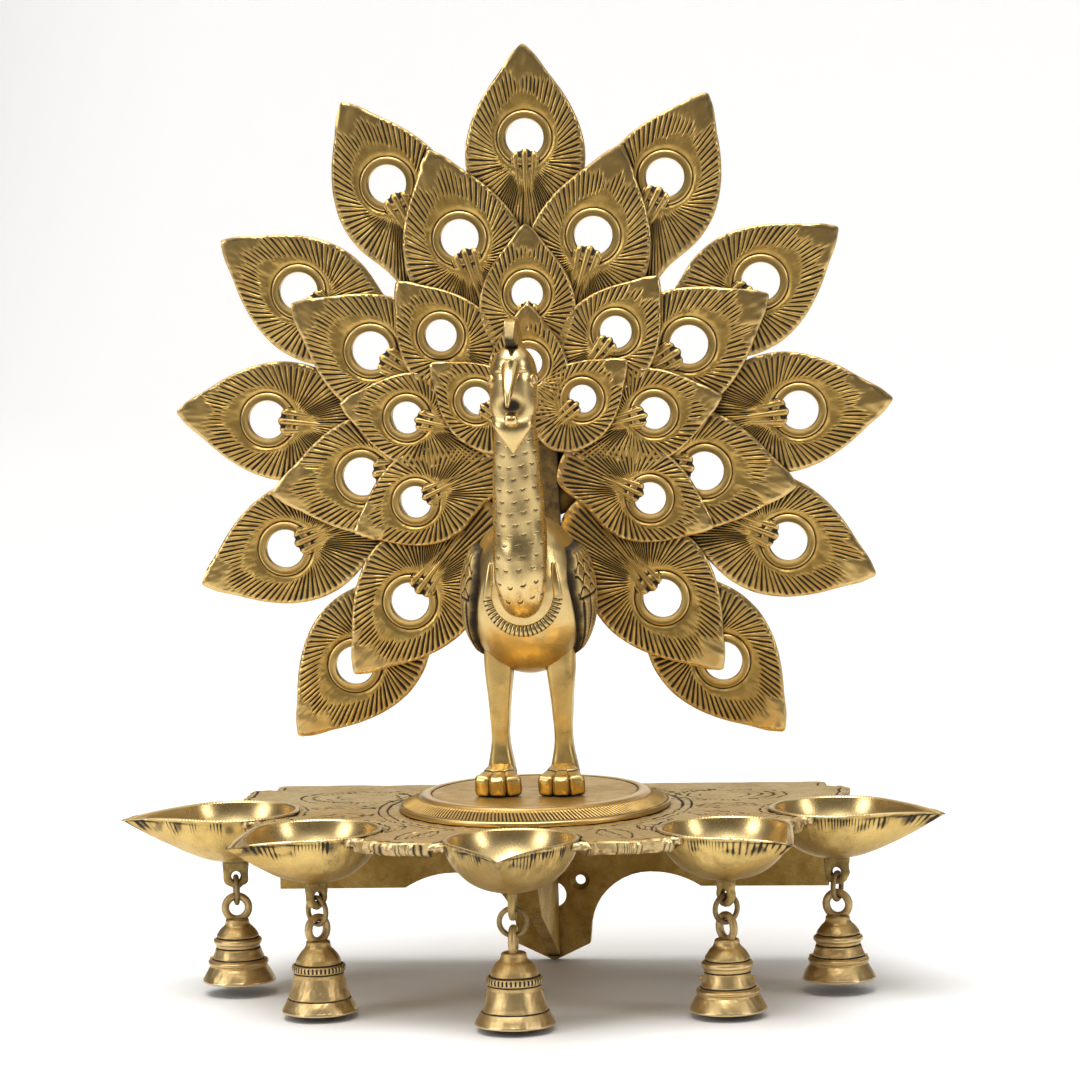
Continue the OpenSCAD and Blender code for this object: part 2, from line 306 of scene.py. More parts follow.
def pierce(part, holes):
    """Cuts round holes, given as (x, z, radius) seen from the front, through a closed part.

    Returns what is left as points, faces and the two marks.
    """
    blank = bpy.data.objects.new("blank", part.mesh("blank"))
    drill = Casting()
    for x, z, radius in holes:
        bar = turned(lathe([(radius, -20), (radius, 20)], 72), 90, 0)
        drill.tube(bar + (x, (FAN_LOW[1] + FAN_HIGH[1]) / 2, z))
    drill = bpy.data.objects.new("drill", drill.mesh("drill"))
    for piece in (blank, drill):
        bpy.context.scene.collection.objects.link(piece)
    cut = blank.modifiers.new("pierce", "BOOLEAN")
    cut.operation, cut.solver, cut.object = "DIFFERENCE", "EXACT", drill
    left = blank.evaluated_get(bpy.context.evaluated_depsgraph_get()).to_mesh()
    points = np.zeros(len(left.vertices) * 3)
    left.vertices.foreach_get("co", points)
    marks = []
    for mark in ("hollow", "worn"):
        values = np.zeros(len(left.vertices))
        left.attributes[mark].data.foreach_get("value", values)
        marks.append(values)
    faces = [list(face.vertices) for face in left.polygons]
    for piece in (blank, drill):
        bpy.data.meshes.remove(piece.data)
    return points.reshape(-1, 3) / MM, faces, *marks


def lathe(profile, steps):
    """Rings of a turned shape about Z, from (radius, height) rows."""
    profile = np.array(profile, float)
    return polar(profile[:, :1], bearings(steps), profile[:, 1:])


def sweep(path, radii, steps=24, up=(1, 0, 0), square=1.0):
    """Rings about a path, with half widths toward up and across it.

    A square below 1 flattens the section's sides.
    """
    path = np.array(path, float)
    radii = np.broadcast_to(np.array(radii, float), (len(path), 2))
    way = np.gradient(path, axis=0)
    way /= np.linalg.norm(way, axis=1)[:, None]
    up = np.array(up, float)
    side = up - (way @ up)[:, None] * way
    side /= np.linalg.norm(side, axis=1)[:, None]
    over = np.cross(way, side)
    a = bearings(steps)
    c = np.sign(np.cos(a)) * np.abs(np.cos(a)) ** square
    s = np.sign(np.sin(a)) * np.abs(np.sin(a)) ** square
    across = side[:, None] * (radii[:, :1] * c)[..., None]
    return path[:, None] + across + over[:, None] * (radii[:, 1:] * s)[..., None]


def torus(big, bar, steps=72, around=20):
    """A ring of round bar about Z."""
    section = bearings(around)[None]
    return polar(big + bar * np.cos(section), bearings(steps)[:, None], bar * np.sin(section))


# ---- finishes ----


class Value:
    """A node's socket that takes part in arithmetic."""

    def __init__(self, finish, socket):
        self.finish, self.socket = finish, socket

    def _math(self, operation, first, second):
        settings = {"operation": operation}
        return self.finish.node("ShaderNodeMath", settings, {0: first, 1: second})

    def __add__(self, other):
        return self._math("ADD", self, other)

    def __sub__(self, other):
        return self._math("SUBTRACT", self, other)

    def __rsub__(self, other):
        return self._math("SUBTRACT", other, self)

    def __mul__(self, other):
        return self._math("MULTIPLY", self, other)

    __radd__ = __add__
    __rmul__ = __mul__

    def step(self, low, high):
        """0 below low and 1 above high, softly."""
        ends = {"Value": self, "From Min": low, "From Max": high}
        return self.finish.node("ShaderNodeMapRange", {"interpolation_type": "SMOOTHSTEP"}, ends)


class Finish:
    """A material under construction."""

    def __init__(self, name):
        self.material = bpy.data.materials.new(name)
        self.material.use_nodes = True
        self.tree = self.material.node_tree
        self.tree.nodes.clear()

    def node(self, kind, settings=None, inputs=None, output=0):
        """Adds a node: its settings first, then the values or links of its sockets."""
        made = self.tree.nodes.new(kind)
        for key, value in (settings or {}).items():
            setattr(made, key, value)
        for key, value in (inputs or {}).items():
            if isinstance(value, Value):
                self.tree.links.new(value.socket, made.inputs[key])
            else:
                made.inputs[key].default_value = value
        return Value(self, made.outputs[output]) if made.outputs else None

    def blend(self, amount, first, second):
        """A colour that goes from first to second as amount goes from 0 to 1."""
        first, second = [c if isinstance(c, Value) else (*c, 1) for c in (first, second)]
        ends = {0: amount, 6: first, 7: second}
        return self.node("ShaderNodeMix", {"data_type": "RGBA"}, ends, output=2)

    def noise(self, scale, detail=4.0, stretch=(1, 1, 1)):
        """Noise through the piece, with scale in lumps to the metre."""
        place = self.node("ShaderNodeTexCoord", output=3)
        place = self.node("ShaderNodeMapping", None, {"Vector": place, "Scale": stretch})
        look = {"Vector": place, "Scale": scale, "Detail": detail, "Roughness": 0.6}
        return self.node("ShaderNodeTexNoise", None, look)

    def mark(self, name):
        """A mark that the casting left on its points."""
        return self.node("ShaderNodeAttribute", {"attribute_name": name}, output=2)


def brass(name, metal, rough, toning, grime_and_shade, grain, brush=(1, 1, 1), crevice=2.5):
    """Aged metal. toning, grime and grain say how patchy, how spotted and how rough it is, and
    grime also sets how dark the painted shade in corners is; brush squeezes its fine grain along
    an axis, and crevice is how far that painted corner shade reaches out of a corner."""
    soot_and_shade = tuple(settings()[1].soot_and_shade)
    finish = Finish(name)
    hollow, worn = finish.mark("hollow"), finish.mark("worn")
    metal = tuple(metal)
    deep = (metal[0] * 0.58, metal[1] * 0.52, metal[2] * 0.38)
    rosy = (metal[0] * 0.88, metal[1] * 0.79, metal[2] * 0.66)
    pale = tuple(min(1.0, c * 0.93 + 0.13) for c in metal)
    reach = {"Distance": crevice * MM}
    open_air = finish.node("ShaderNodeAmbientOcclusion", {"samples": 6}, reach, output=1)
    broad = finish.noise(48, 3)
    patch = finish.noise(230, 5)
    fine = finish.noise(1400, 4, brush)
    speck = finish.noise(2300, 3)
    tone = (broad * 0.55 + patch * 0.45).step(0.5 - 0.16, 0.5 + 0.16) * (1 - worn * 0.6)
    spots = speck.step(0.56, 0.7) * patch.step(0.48, 0.62) * grime_and_shade
    # Darkness from ambient occlusion: painted shade in corners and between parts, standing also for
    # black patina gathered there.
    corner = (1 - open_air).step(0.32, 0.95) * (0.45 + grime_and_shade * 0.8) * (1 - worn * 0.85)
    # The patina in the hollows, the painted corner shade and the spots make one dark mask.
    dirt_and_shade = (hollow * (0.55 + patch * 0.8) + corner).step(0.05, 0.74)
    dirt_and_shade = (dirt_and_shade + spots * (1 - worn)).step(0.0, 1.0)
    tint = finish.blend(broad.step(0.4, 0.65) * toning, metal, rosy)
    tint = finish.blend(tone * toning, tint, deep)
    tint = finish.blend(fine.step(0.4, 0.75) * grain, tint, deep)
    tint = finish.blend(worn * 0.75, tint, pale)
    # Patina, spots and painted shade all take this one dark colour.
    tint = finish.blend(dirt_and_shade, tint, soot_and_shade)
    height = (fine + patch * 1.4 + speck * 0.35) * (1 - worn * 0.7) * grain
    bump = {"Strength": 0.5, "Distance": 0.0003, "Height": height}
    look = {
        "Base Color": tint,
        "Roughness": rough + tone * 0.1 + fine * grain * 0.22 + dirt_and_shade * 0.4 - worn * 0.1,
        "Metallic": 1 - dirt_and_shade * 0.7,
        "Normal": finish.node("ShaderNodeBump", None, bump),
    }
    shader = finish.node("ShaderNodeBsdfPrincipled", None, look)
    finish.node("ShaderNodeOutputMaterial", None, {"Surface": shader})
    return finish.material


def dress(node, finish):
    """Gives a node of the frame its finish, with no worn or hollow marks of its own."""
    mesh = frame["nodes"][node].data
    mesh.materials.clear()
    mesh.materials.append(finish)


# ---- plate and pedestal ----

CUP_RADIUS = 22.0
CUP_REACH = 37.9
CUP_DEPTH = 17.3
PLATE_MIDDLE = -20.0
PLATE_RADIUS = 110.0
EAR_BACK = -9.0
STRIP_FRONT = -25.0
SCALLOP_RADIUS = 16.0
SCALLOP_REACH = 123.5
SCALLOPS = (-47, -16, 16, 47)
SKIN_INNER = 40.0
LEAVES = 24
LEAF_FOOT = 54.0
LEAF_LENGTH = 22.0
LEAF_HALF = 6.2
MEDALLION = (62.0, -27.0)
RIM_ROWS = ((0.14, -0.5), (0.3, -0.1), (0.5, 0.0), (0.7, -0.15), (0.86, -0.6), (1.0, -1.5))


def cup_plan(angle, radius, reach):
    """Plan radius of a cup at an angle from its spout: a circle with straight flanks to a point."""
    away = np.abs((angle + math.pi) % (2 * math.pi) - math.pi)
    touch = math.acos(radius / reach)
    flank = radius / np.cos(np.clip(touch - away, 0, touch))
    return np.where(away < touch, np.minimum(flank, reach), radius)


def cup_place(n):
    """Centre and turn of a cup: its spout points along -Y turned by this angle."""
    centre, across = pivot(f"ring_{n}_swing")
    return centre[:2], math.atan2(across[1], across[0])


def inside_plate(x, y):
    """Whether points lie in the plate: a round front with ears and a strip along the wall, less
    the cups and the scallops between them."""
    inside = np.hypot(x, y - PLATE_MIDDLE) < PLATE_RADIUS
    inside &= (np.abs(x) < PLATE_HIGH[0]) & (y < EAR_BACK)
    inside |= (np.abs(x) < PANEL_HIGH[0]) & (y > STRIP_FRONT) & (y < 0)
    for n in CUPS:
        (cup_x, cup_y), turn = cup_place(n)
        angle = np.arctan2(y - cup_y, x - cup_x) + math.pi / 2 - turn
        cup = cup_plan(angle, CUP_RADIUS - 0.6, CUP_REACH - 1)
        inside &= np.hypot(x - cup_x, y - cup_y) > cup
    for bearing in np.radians(SCALLOPS):
        off_x = x - SCALLOP_REACH * math.sin(bearing)
        off_y = y - PLATE_MIDDLE + SCALLOP_REACH * math.cos(bearing)
        inside &= np.hypot(off_x, off_y) > SCALLOP_RADIUS
    return inside


def plate_edge(angle, ragged):
    """The plate's edge from the pedestal's middle: how far out it is, its points before it is
    made ragged, and how freely it wanders, which is not at all along the wall."""
    reach = np.arange(30, 150, 0.1)
    ways = polar(reach, angle[:, None], middle=DISC_MID[1])
    edge = rounded(reach[np.argmin(inside_plate(ways[..., 0], ways[..., 1]), axis=1)], 9)
    rim = polar(edge, angle, middle=DISC_MID[1])[:, :2]
    loose = soft_step(-rim[:, 1], 2, 6) * soft_step(-rim[:, 1], 2, 14)
    wander = waves(rim, 1, 9) * 0.6 + waves(rim, 2, 2.6) * 0.4 - 0.6
    return edge + loose * ragged * wander, rim, loose


def plate_marks(angle, radius, place, from_edge):
    """What is cut into the plate's top, 0 to 1: a border, rings, leaves, scrolls and medallions."""
    x, y = place[..., 0], place[..., 1]
    marks = near(from_edge, 3.4, 0.5) + near(radius, 49.5, 0.5) + near(radius, 52.5, 0.4)
    cell = angle * LEAVES / (2 * math.pi)
    off = np.abs((cell - np.round(cell)) * 2 * math.pi / LEAVES * radius)
    along_leaf = np.clip((radius - LEAF_FOOT) / LEAF_LENGTH, 0, 1)
    on_leaf = (along_leaf > 0) & (along_leaf < 1)
    half = LEAF_HALF * np.sin(math.pi * along_leaf) ** 0.8 * (1 - 0.35 * along_leaf)
    outline = near(off, half, 0.5) * on_leaf
    vein = near(off, 0, 0.45) * on_leaf * (along_leaf < 0.75)
    barb = groove((off * 1.2 - radius) / 3.2, 0.16) * on_leaf * (off < half - 0.8)
    marks = marks + (outline + vein + barb * 0.6) * (y < -42)
    scroll = groove(radius / 5.2 + waves(place, 3, 32) * 0.5, 0.1)
    marks = marks + scroll * (radius > 78) * (from_edge > 5) * 0.7 * (y < -60)
    for side in (-1, 1):
        flat, deep = x - side * MEDALLION[0], (y - MEDALLION[1]) * 1.5
        away = np.hypot(flat, deep)
        arcs = groove(away / 4.2, 0.12) * (away > 5) * (away < 24)
        ticks = groove(np.arctan2(deep, flat) * 26 / math.pi, 0.2) * (np.abs(away - 16.8) < 1.6)
        marks = marks + arcs * (0.4 + 0.6 * soft_step(waves(place, 7, 14), -0.6, 0.2)) + ticks
    rubbed = 0.6 + 0.4 * soft_step(waves(place, 4, 21), -0.5, 0.6)
    return np.clip(marks, 0, 1) * rubbed * soft_step(-y, 1, 5)


def plate_skin(sizes):
    """The plate as one closed polar skin about the pedestal's middle."""
    steps, rows, middle = 1500, 150, DISC_MID[1]
    low, high = PLATE_LOW[2], PLATE_HIGH[2]
    a = bearings(steps)
    edge, rim, loose = plate_edge(a, sizes.plate_ragged / MM)
    radius = SKIN_INNER + (edge - 0.9 - SKIN_INNER) * np.linspace(0, 1, rows)[:, None]
    top = polar(radius, a, middle=middle)
    place, from_edge = top[..., :2], edge - radius
    marks = plate_marks(a, radius, place, from_edge)
    level = high - sizes.plate_cut / MM * marks - 0.12 + 0.1 * waves(place, 5, 17)
    level = level - 0.9 * soft_step(1 - from_edge / 2.4, 0, 1) * loose
    lumps = waves(place, 6, 3.4) * 0.12
    top[..., 2] = np.minimum(level + lumps * soft_step(-place[..., 1], 1, 5), high)
    skin = [top]
    hollow = [np.clip(marks * 1.1, 0, 1)]
    worn = [0.25 * soft_step(1 - from_edge / 3, 0, 1)]
    streak = groove(a * 40 + waves(rim, 17, 12) * 3, 0.2) * 0.6 * loose
    for sink, out in RIM_ROWS:
        r = edge + out + loose * (0.35 * waves(rim, 10 + int(sink * 50), 5) - 0.15)
        skin.append(polar(r, a, high - (high - low) * sink, middle)[None])
        hollow.append(streak[None])
        worn.append(0.35 * (1 - streak)[None])
    r = 2 + (edge - 4.2) * np.linspace(1, 0, 40)[:, None]
    under = polar(r, a, middle=middle)
    pits = waves(under[..., :2], 20, 6) * 0.2 + waves(under[..., :2], 21, 2) * 0.08
    under[..., 2] = low + 0.15 + np.abs(pits)
    skin += [under, polar(np.full((1, steps), 2.0), a, high - 2, middle)]
    hollow += [0.35 + pits, np.zeros((1, steps))]
    worn += [0 * pits, np.zeros((1, steps))]
    skin = np.concatenate(skin)
    skin[..., 1] = np.minimum(skin[..., 1], 0)
    return skin, np.concatenate(hollow), np.concatenate(worn)


def curl_skins():
    """The small cast curls where each cup's rim runs into the plate's edge."""
    angle = np.radians(np.arange(-179, 181, 1.0))
    u = np.linspace(0, 1, 40)
    reach, rise = 3.6 - 2.4 * u, PLATE_HIGH[2] - 1.6 + 0.9 * u
    girth = (1.5 - 0.6 * u) * np.clip(0.35 + u * 5, 0, 1)
    for n in CUPS:
        (x, y), _ = cup_place(n)
        edge_x, edge_y = x + 24.5 * np.cos(angle), y + 24.5 * np.sin(angle)
        meets = inside_plate(edge_x, edge_y)
        for k in np.flatnonzero((meets != np.roll(meets, 1)) & (edge_y <= STRIP_FRONT)):
            swirl = angle[k] + (1 if meets[k] else -1) * (0.6 + 4.6 * u)
            centre = polar(23.6, angle[k]) + (x, y, 0)
            path = centre + polar(reach, swirl, rise)
            skin = sweep(path, np.column_stack([girth * 1.1, girth]), 20, up=(0, 0, 1))
            yield skin + (waves(skin, 30 + n, 2.5) * 0.15)[..., None]


def disc_skin(sizes):
    """The pedestal, turned and then knurled round its slope."""
    low, high, r = DISC_LOW[2], DISC_HIGH[2], DISC_HIGH[0]
    cuts = round(2 * math.pi * (r - 3) / (sizes.knurl_pitch / MM))
    steps = cuts * 6
    inset = [(0.0, 0.6), (0.0, 1.4), (0.25, 1.75), (0.7, 1.9), (1.1, 1.95)]
    inset += [(1.1 + 5.6 * t, 1.95 + 2.5 * t) for t in np.linspace(0, 1, 14)[1:]]
    inset += [(7.0, 4.5), (7.5, 5.05), (8.2, 5.35), (9.4, 5.5), (10.4, 5.45), (10.8, 5.15)]
    inset += [(11.2, 5.1), (12, 5.36)]
    rows = [(0.6, low), (r - 1, low), (r - 0.3, low + 0.15)]
    rows += [(r - in_from, low + up) for in_from, up in inset]
    rows += [(k, high - 0.08) for k in np.linspace(r - 13, 0.6, 26)]
    skin = lathe(rows, steps)
    radius, height = np.array(rows)[:, :1], np.array(rows)[:, 1:]
    depth_in = r - radius
    on_slope = soft_step(depth_in, 1.1, 1.8) * (1 - soft_step(depth_in, 5.9, 6.8))
    on_slope = on_slope * (height > low + 1)
    phase = np.arange(steps) / 6 + 0.12 * np.sin(np.arange(steps) * 0.01)
    cut = groove(phase[None] + depth_in * 0.16 * 1.6, 0.24) * on_slope
    skin[..., 2] -= 0.42 * cut
    skin[..., :2] *= 1 - 0.3 * cut[..., None] / r
    skin[..., :2] += DISC_MID[:2]
    on_flat = (radius < r - 12.5) & (height > low + 3)
    skin[..., 2] += (waves(skin, 30, 6) * 0.05 - 0.03) * on_flat
    seam = near(depth_in, 10.9, 0.35) * (height > low + 3)
    seam = seam + near(depth_in, 0.9, 0.3) * (height > low + 1.7)
    band = soft_step(depth_in, 6.6, 7.4) * (1 - soft_step(depth_in, 9.8, 10.6))
    lip = (depth_in < 0.5) * 0.8
    return skin, cut * 0.95 + seam * 0.8, band + lip + 0.5 * on_slope * (1 - cut)


# ---- cups ----

LUG_DROP = 22.3


def cup_skin(sizes, n):
    """A cup drawn out to a spout, with the spout along -Y and the rim at height 0."""
    steps, rows = 480, 34
    wall = sizes.cup_wall / MM
    t = np.linspace(-1, 1, steps, endpoint=False)
    a = np.sign(t) * np.abs(t) ** 1.45 * math.pi
    plan = rounded(cup_plan(a, CUP_RADIUS, CUP_REACH), 7)
    spout = np.clip((plan - CUP_RADIUS) / (CUP_REACH - CUP_RADIUS), 0, 1)
    dip = 1.5 * spout**2
    way = np.stack([np.sin(a), -np.cos(a)], -1)

    def ring(reach, z):
        return np.stack([reach * way[:, 0], reach * way[:, 1], z], -1)

    def shell(reach, depth, share):
        share = share[:, None]
        drop = depth * (1 - share ** (2.4 - 0.7 * spout)) ** (0.6 + 0.42 * spout)
        return ring(reach * share, -(drop + dip * share**3))

    share = np.sin(np.linspace(0.02, 1, rows) * math.pi / 2)
    outside = shell(plan, CUP_DEPTH, share)
    outside[..., 2] = np.minimum(outside[..., 2], -0.7)
    lumps = waves(outside, 40 + n, 7) * 0.22 + waves(outside, 50 + n, 2.4) * 0.07
    outside[..., :2] -= way * (np.abs(lumps) * share[:, None])[..., None]
    height = outside[..., 2]
    scratch = groove(a * 58 / math.pi + waves(way, 60 + n, 0.8) * 0.7, 0.22) * 0.75
    scratch = scratch * soft_step(waves(way, 65 + n, 0.45), -0.9, 0.3)
    scratch = scratch * soft_step(height, -7.5 + 2 * waves(way, 66 + n, 0.3), -2)
    smoky = soft_step(waves(outside, 64 + n, 6), -0.3, 1.0) * soft_step(height, -8, -3)
    scratch = (scratch + 0.45 * smoky) * (1 - soft_step(height, -1.3, -0.8))
    stained = 0.1 + 0.2 * soft_step(waves(outside, 67 + n, 12), -0.8, 1.4)
    dark = np.maximum(scratch, near(height, -1.5, 0.3) * 0.45 + stained)
    notch = groove(a * 60 / math.pi, 0.22) * (1 - spout**0.5)
    flare = 1 + 0.8 * spout
    lip = [(-0.05, -0.45), (-0.3, -0.08), (-0.7, 0.0), (-1.15, -0.02), (-1.5, -0.14), (-wall, -0.6)]
    rim = [ring(plan + out * flare, up - dip - 0.14 * notch * (up > -0.3)) for out, up in lip]
    inner = shell(plan - wall * flare, CUP_DEPTH - wall, share[::-1])
    inner[..., 2] = np.minimum(inner[..., 2], -0.6 - dip)
    inner[..., 2] += waves(inner, 70 + n, 8) * 0.12 * (1 - share[::-1, None])
    polished = np.full((len(lip) + rows, steps), 0.95)
    skin = np.concatenate([outside, rim, inner])
    hollow = np.concatenate([dark, np.tile(notch * 0.5, (len(lip), 1)), 0 * inner[..., 0]])
    return skin, hollow, np.concatenate([np.full(dark.shape, 0.1), polished])


def lug_skin(seed):
    """The pierced eye under a cup, in its own plane: hole at the origin, cup above."""
    steps = 96
    outer, hole, half, reach = 4.4, 1.6, 1.2, 6.6
    a = bearings(steps)
    side, up = np.cos(a), np.sin(a)
    square = np.minimum(outer / np.maximum(np.abs(side), 1e-6), reach / np.maximum(up, 1e-6))
    outline = np.where(up > 0, square, outer)
    ragged = waves(np.stack([side, up], -1), seed, 0.7) * 0.16 - 0.16
    outline = outline + np.where(up > 0.6, 0, ragged)
    rings = [(hole, 0.5), (hole + 0.25, 0.86), (hole + 0.7, 1.0)]
    rings += [(outline - 0.9, 0.97), (outline - 0.35, 0.8), (outline, 0.4)]
    skin = []
    for front, order in ((1, rings), (-1, rings[::-1])):
        for radius, lift in order:
            x, z = radius * side, radius * up
            bumps = waves(np.stack([x, z], -1), seed + front, 1.8) * 0.06
            skin.append(np.stack([x, front * (half * lift - np.abs(bumps)), z], -1))
    return np.array(skin)


# ---- bells, links and clappers ----

SMALL = (1, 5)
KNURLED = (2, 3)
LOOP_RADIUS, LOOP_BAR = 3.9, 1.3
RING_RADIUS, RING_BAR = 4.4, 0.86
PIN_RADIUS = 0.69


def bell_profile(n, mouth, neck, height):
    """Half section of a bell, up its outside from the mouth and back down its inside."""
    m, h = mouth, height
    outside = [(m - 1.2, 0.05), (m - 0.5, 0), (m - 0.05, 0.2), (m - 0.02, 0.7), (m - 0.4, 1.4)]
    outside += [(m - 1.1, 2.8), (m - 1.9, 4.2)]
    if n in KNURLED:
        outside += [(0.79 * m, 6.0), (0.74 * m, 8.0), (0.7 * m, 10.0), (0.67 * m, 12.2)]
        outside += [(0.69 * m, 0.57 * h), (0.71 * m, 0.59 * h), (0.715 * m, 0.63 * h)]
        outside += [(0.7 * m, 0.655 * h), (0.66 * m, 0.67 * h)]
    else:
        outside += [(0.79 * m, 5.7), (0.82 * m, 6.1), (0.83 * m, 6.7), (0.81 * m, 7.2)]
        outside += [(0.75 * m, 7.5), (0.7 * m, 8.6), (0.65 * m, 10.2), (0.62 * m, 11.6)]
        outside += [(0.61 * m, 0.57 * h), (0.62 * m, 0.6 * h), (0.66 * m, 0.62 * h)]
        outside += [(0.67 * m, 0.65 * h), (0.65 * m, 0.68 * h)]
    outside += [(0.6 * m, 0.7 * h), (0.58 * m, 0.74 * h), (0.53 * m, 0.79 * h)]
    outside += [(0.45 * m, 0.85 * h), (neck + 0.5, h - 2.2), (neck + 0.1, h - 1.2)]
    outside += [(neck, h - 0.4), (neck - 0.4, h - 0.05), (2.2, h), (0.4, h)]
    inside = [(0.4, 0.82 * h), (0.28 * m, 0.78 * h), (0.38 * m, 0.7 * h), (0.44 * m, 0.62 * h)]
    inside += [(0.48 * m, 0.54 * h), (0.5 * m, 11), (0.55 * m, 9.4), (0.6 * m, 8), (0.68 * m, 6)]
    inside += [(m - 3, 4.2), (m - 2.2, 2.4), (m - 1.5, 0.6)]
    return outside, inside


def bell_skin(n, mouth, height):
    """A cast and turned bell, its mouth at height 0."""
    steps, rows_out = 40 * 6, 110
    outside, inside = bell_profile(n, mouth, 4.1, height)
    rows = np.concatenate([along(outside, rows_out), inside])
    skin = lathe(rows, steps)
    r, z = rows.T
    out = np.arange(len(r)) < rows_out
    lines = (7.9, 0.545 * height, 0.71 * height)
    if n in KNURLED:
        lines = (4.6, 0.555 * height, 0.68 * height)
    cut = (sum(near(z, level, 0.26) for level in lines) * out)[:, None] + np.zeros(steps)
    if n in KNURLED:
        band = soft_step(z, 0.575 * height, 0.59 * height)
        band = band * (1 - soft_step(z, 0.65 * height, 0.665 * height))
        cut += (band * out)[:, None] * groove(np.arange(steps) / 6, 0.24)[None]
    cut = np.clip(cut, 0, 1)
    lumps = waves(skin, 80 + n, 6) * 0.14 + waves(skin, 85 + n, 1.9) * 0.05
    sink = (0.3 * cut + 0.13 + lumps * 0.7) * out[:, None]
    skin[..., :2] *= 1 - (np.clip(sink, 0, 1) / np.maximum(r, 2)[:, None])[..., None]
    bright = near(z, 0.63 * height, 0.8) + (z < 1.4) + 0.3 * (z < 0.5 * height)
    bright = np.clip(bright, 0, 1) * out * 0.8
    return skin, cut + (0.55 * (1 - out))[:, None], bright[:, None] * (1 - cut)


def eyelet():
    """A short pierced boss about Y, round a clapper's cross pin."""
    hole, outer, half = 0.78, 2.0, 1.2
    front = [(1.1, half), (outer - 0.4, half), (outer - 0.1, half - 0.15), (outer, half - 0.5)]
    back = [(r, -z) for r, z in front[::-1]]
    return turned(lathe([(hole, -half), (hole, half), *front, *back][::-1], 48), 90, 0)


class Hanging:
    """What hangs below one cup: a ring, a bell with its loop, a cross pin and a clapper."""

    def __init__(self, n):
        self.n = n
        self.place, turn = cup_place(n)
        self.turn = math.degrees(turn)
        self.pin_low, self.pin_high = box_mm(f"clapper_pin_{n}")
        self.pin_z = (self.pin_low[2] + self.pin_high[2]) / 2

    def at(self, z):
        """The place at a height on the line that everything hangs from."""
        return (*self.place, z)

    def bell(self):
        """The bell and the loop on its crown."""
        low, high = box_mm(f"bell_{self.n}")
        height = 21.2 if self.n in SMALL else 23.4
        skin, hollow, worn = bell_skin(self.n, (high[0] - low[0]) / 2, height)
        casting = Casting()
        skin = turned(skin, self.turn, 2) + self.at(low[2])
        casting.grid(skin, hollow, worn, wrap=(True, True))
        loop = turned(turned(torus(LOOP_RADIUS, LOOP_BAR, 96, 28), 90, 1), self.turn, 2)
        loop += self.at(high[2] - LOOP_RADIUS - LOOP_BAR)
        casting.grid(loop, 0.3, 0.2, wrap=(True, True))
        return casting

    def ring(self):
        """The bent ring between the cup's lug and the bell's loop."""
        low, high = box_mm(f"ring_link_{self.n}")
        ring = turned(turned(torus(RING_RADIUS, RING_BAR, 120, 24), 90, 0), self.turn, 2)
        casting = Casting()
        casting.grid(ring + self.at((low[2] + high[2]) / 2), 0.35, 0.15, wrap=(True, True))
        return casting

    def pin(self):
        """The pin across the bell, filed round at its ends."""
        run = np.linspace(self.pin_low[0] + 0.05, self.pin_high[0] - 0.05, 60)
        path = np.column_stack([run, 0 * run + self.place[1], 0 * run + self.pin_z])
        ends = 1 - 0.35 * np.exp(-np.minimum(run - run[0], run[-1] - run) / 0.25)
        radii = np.column_stack([ends, ends]) * PIN_RADIUS
        casting = Casting()
        casting.tube(sweep(path, radii, 24, up=(0, 0, 1)), 0.2, 0.3)
        return casting

    def clapper(self):
        """The clapper: a ball on a rod, with an eye round the pin."""
        low, _ = box_mm(f"clapper_{self.n}")
        ball = 4.5 if self.n in SMALL else 4.2
        drop = self.pin_z - low[2] - ball
        t = np.linspace(-0.5, 0.5, 40) * math.pi
        rows = [(max(ball * math.cos(k), 0.1), ball * math.sin(k)) for k in t[:-6]]
        rows += [(1.15, ball * 0.97), (1.0, ball + 0.15), (1.0, drop - 0.9)]
        skin = lathe(rows, 64)
        seam = 1 - 0.02 * near(skin[..., 1:2], 0, 0.25)
        skin = skin * (1 - 0.02 * np.abs(waves(skin, 320 + self.n, 3))[..., None]) * seam
        casting = Casting()
        casting.tube(skin + self.at(self.pin_z - drop), 0.3, 0.1)
        casting.grid(turned(eyelet(), 90, 2) + self.at(self.pin_z), 0.3, 0.1, wrap=(True, True))
        return casting


# ---- tail ----

# The first angle and the step are in degrees from the top, reach is from the fan's middle to a
# tip, upward is how much further the topmost tip reaches, and tip is from a tip to its eye
Row = namedtuple("Row", "a_side on_top first step reach upward tip half hole")
TAIL_ROWS = (
    Row(5, True, 28, 28, 128, 6, 31.5, 20.5, 6.5),
    Row(4, False, 18, 41, 98, 8, 31.5, 21, 6.5),
    Row(3, True, 38.5, 38.5, 70, 4, 23.5, 16.5, 5.4),
    Row(1, True, 50, 50, 44, 3.5, 20, 14, 4.8),
)
FAN_MIDDLE = FAN_HIGH[2] - TAIL_ROWS[0].reach - TAIL_ROWS[0].upward
ROW_STEP = 2.2
FEATHER_THICK = 2.6
BARB_STEPS = 5
# Rows of an eye's raised ring: how far out of the hole, height, hollow and worn
EYE_RING = (
    (0.0, 0.35, 0.0, 0.6), (0.22, 0.66, 0.0, 0.9), (0.5, 0.66, 0.0, 0.8), (0.85, 0.5, 0.05, 0.2),
    (1.9, 0.48, 0.05, 0.2), (2.2, 0.6, 0.0, 0.8), (2.45, 0.5, 0.05, 0.6),
    (2.68, 0.12, 0.5, 0.0), (2.9, 0.0, 0.75, 0.0), (3.1, 0.12, 0.35, 0.0),
)


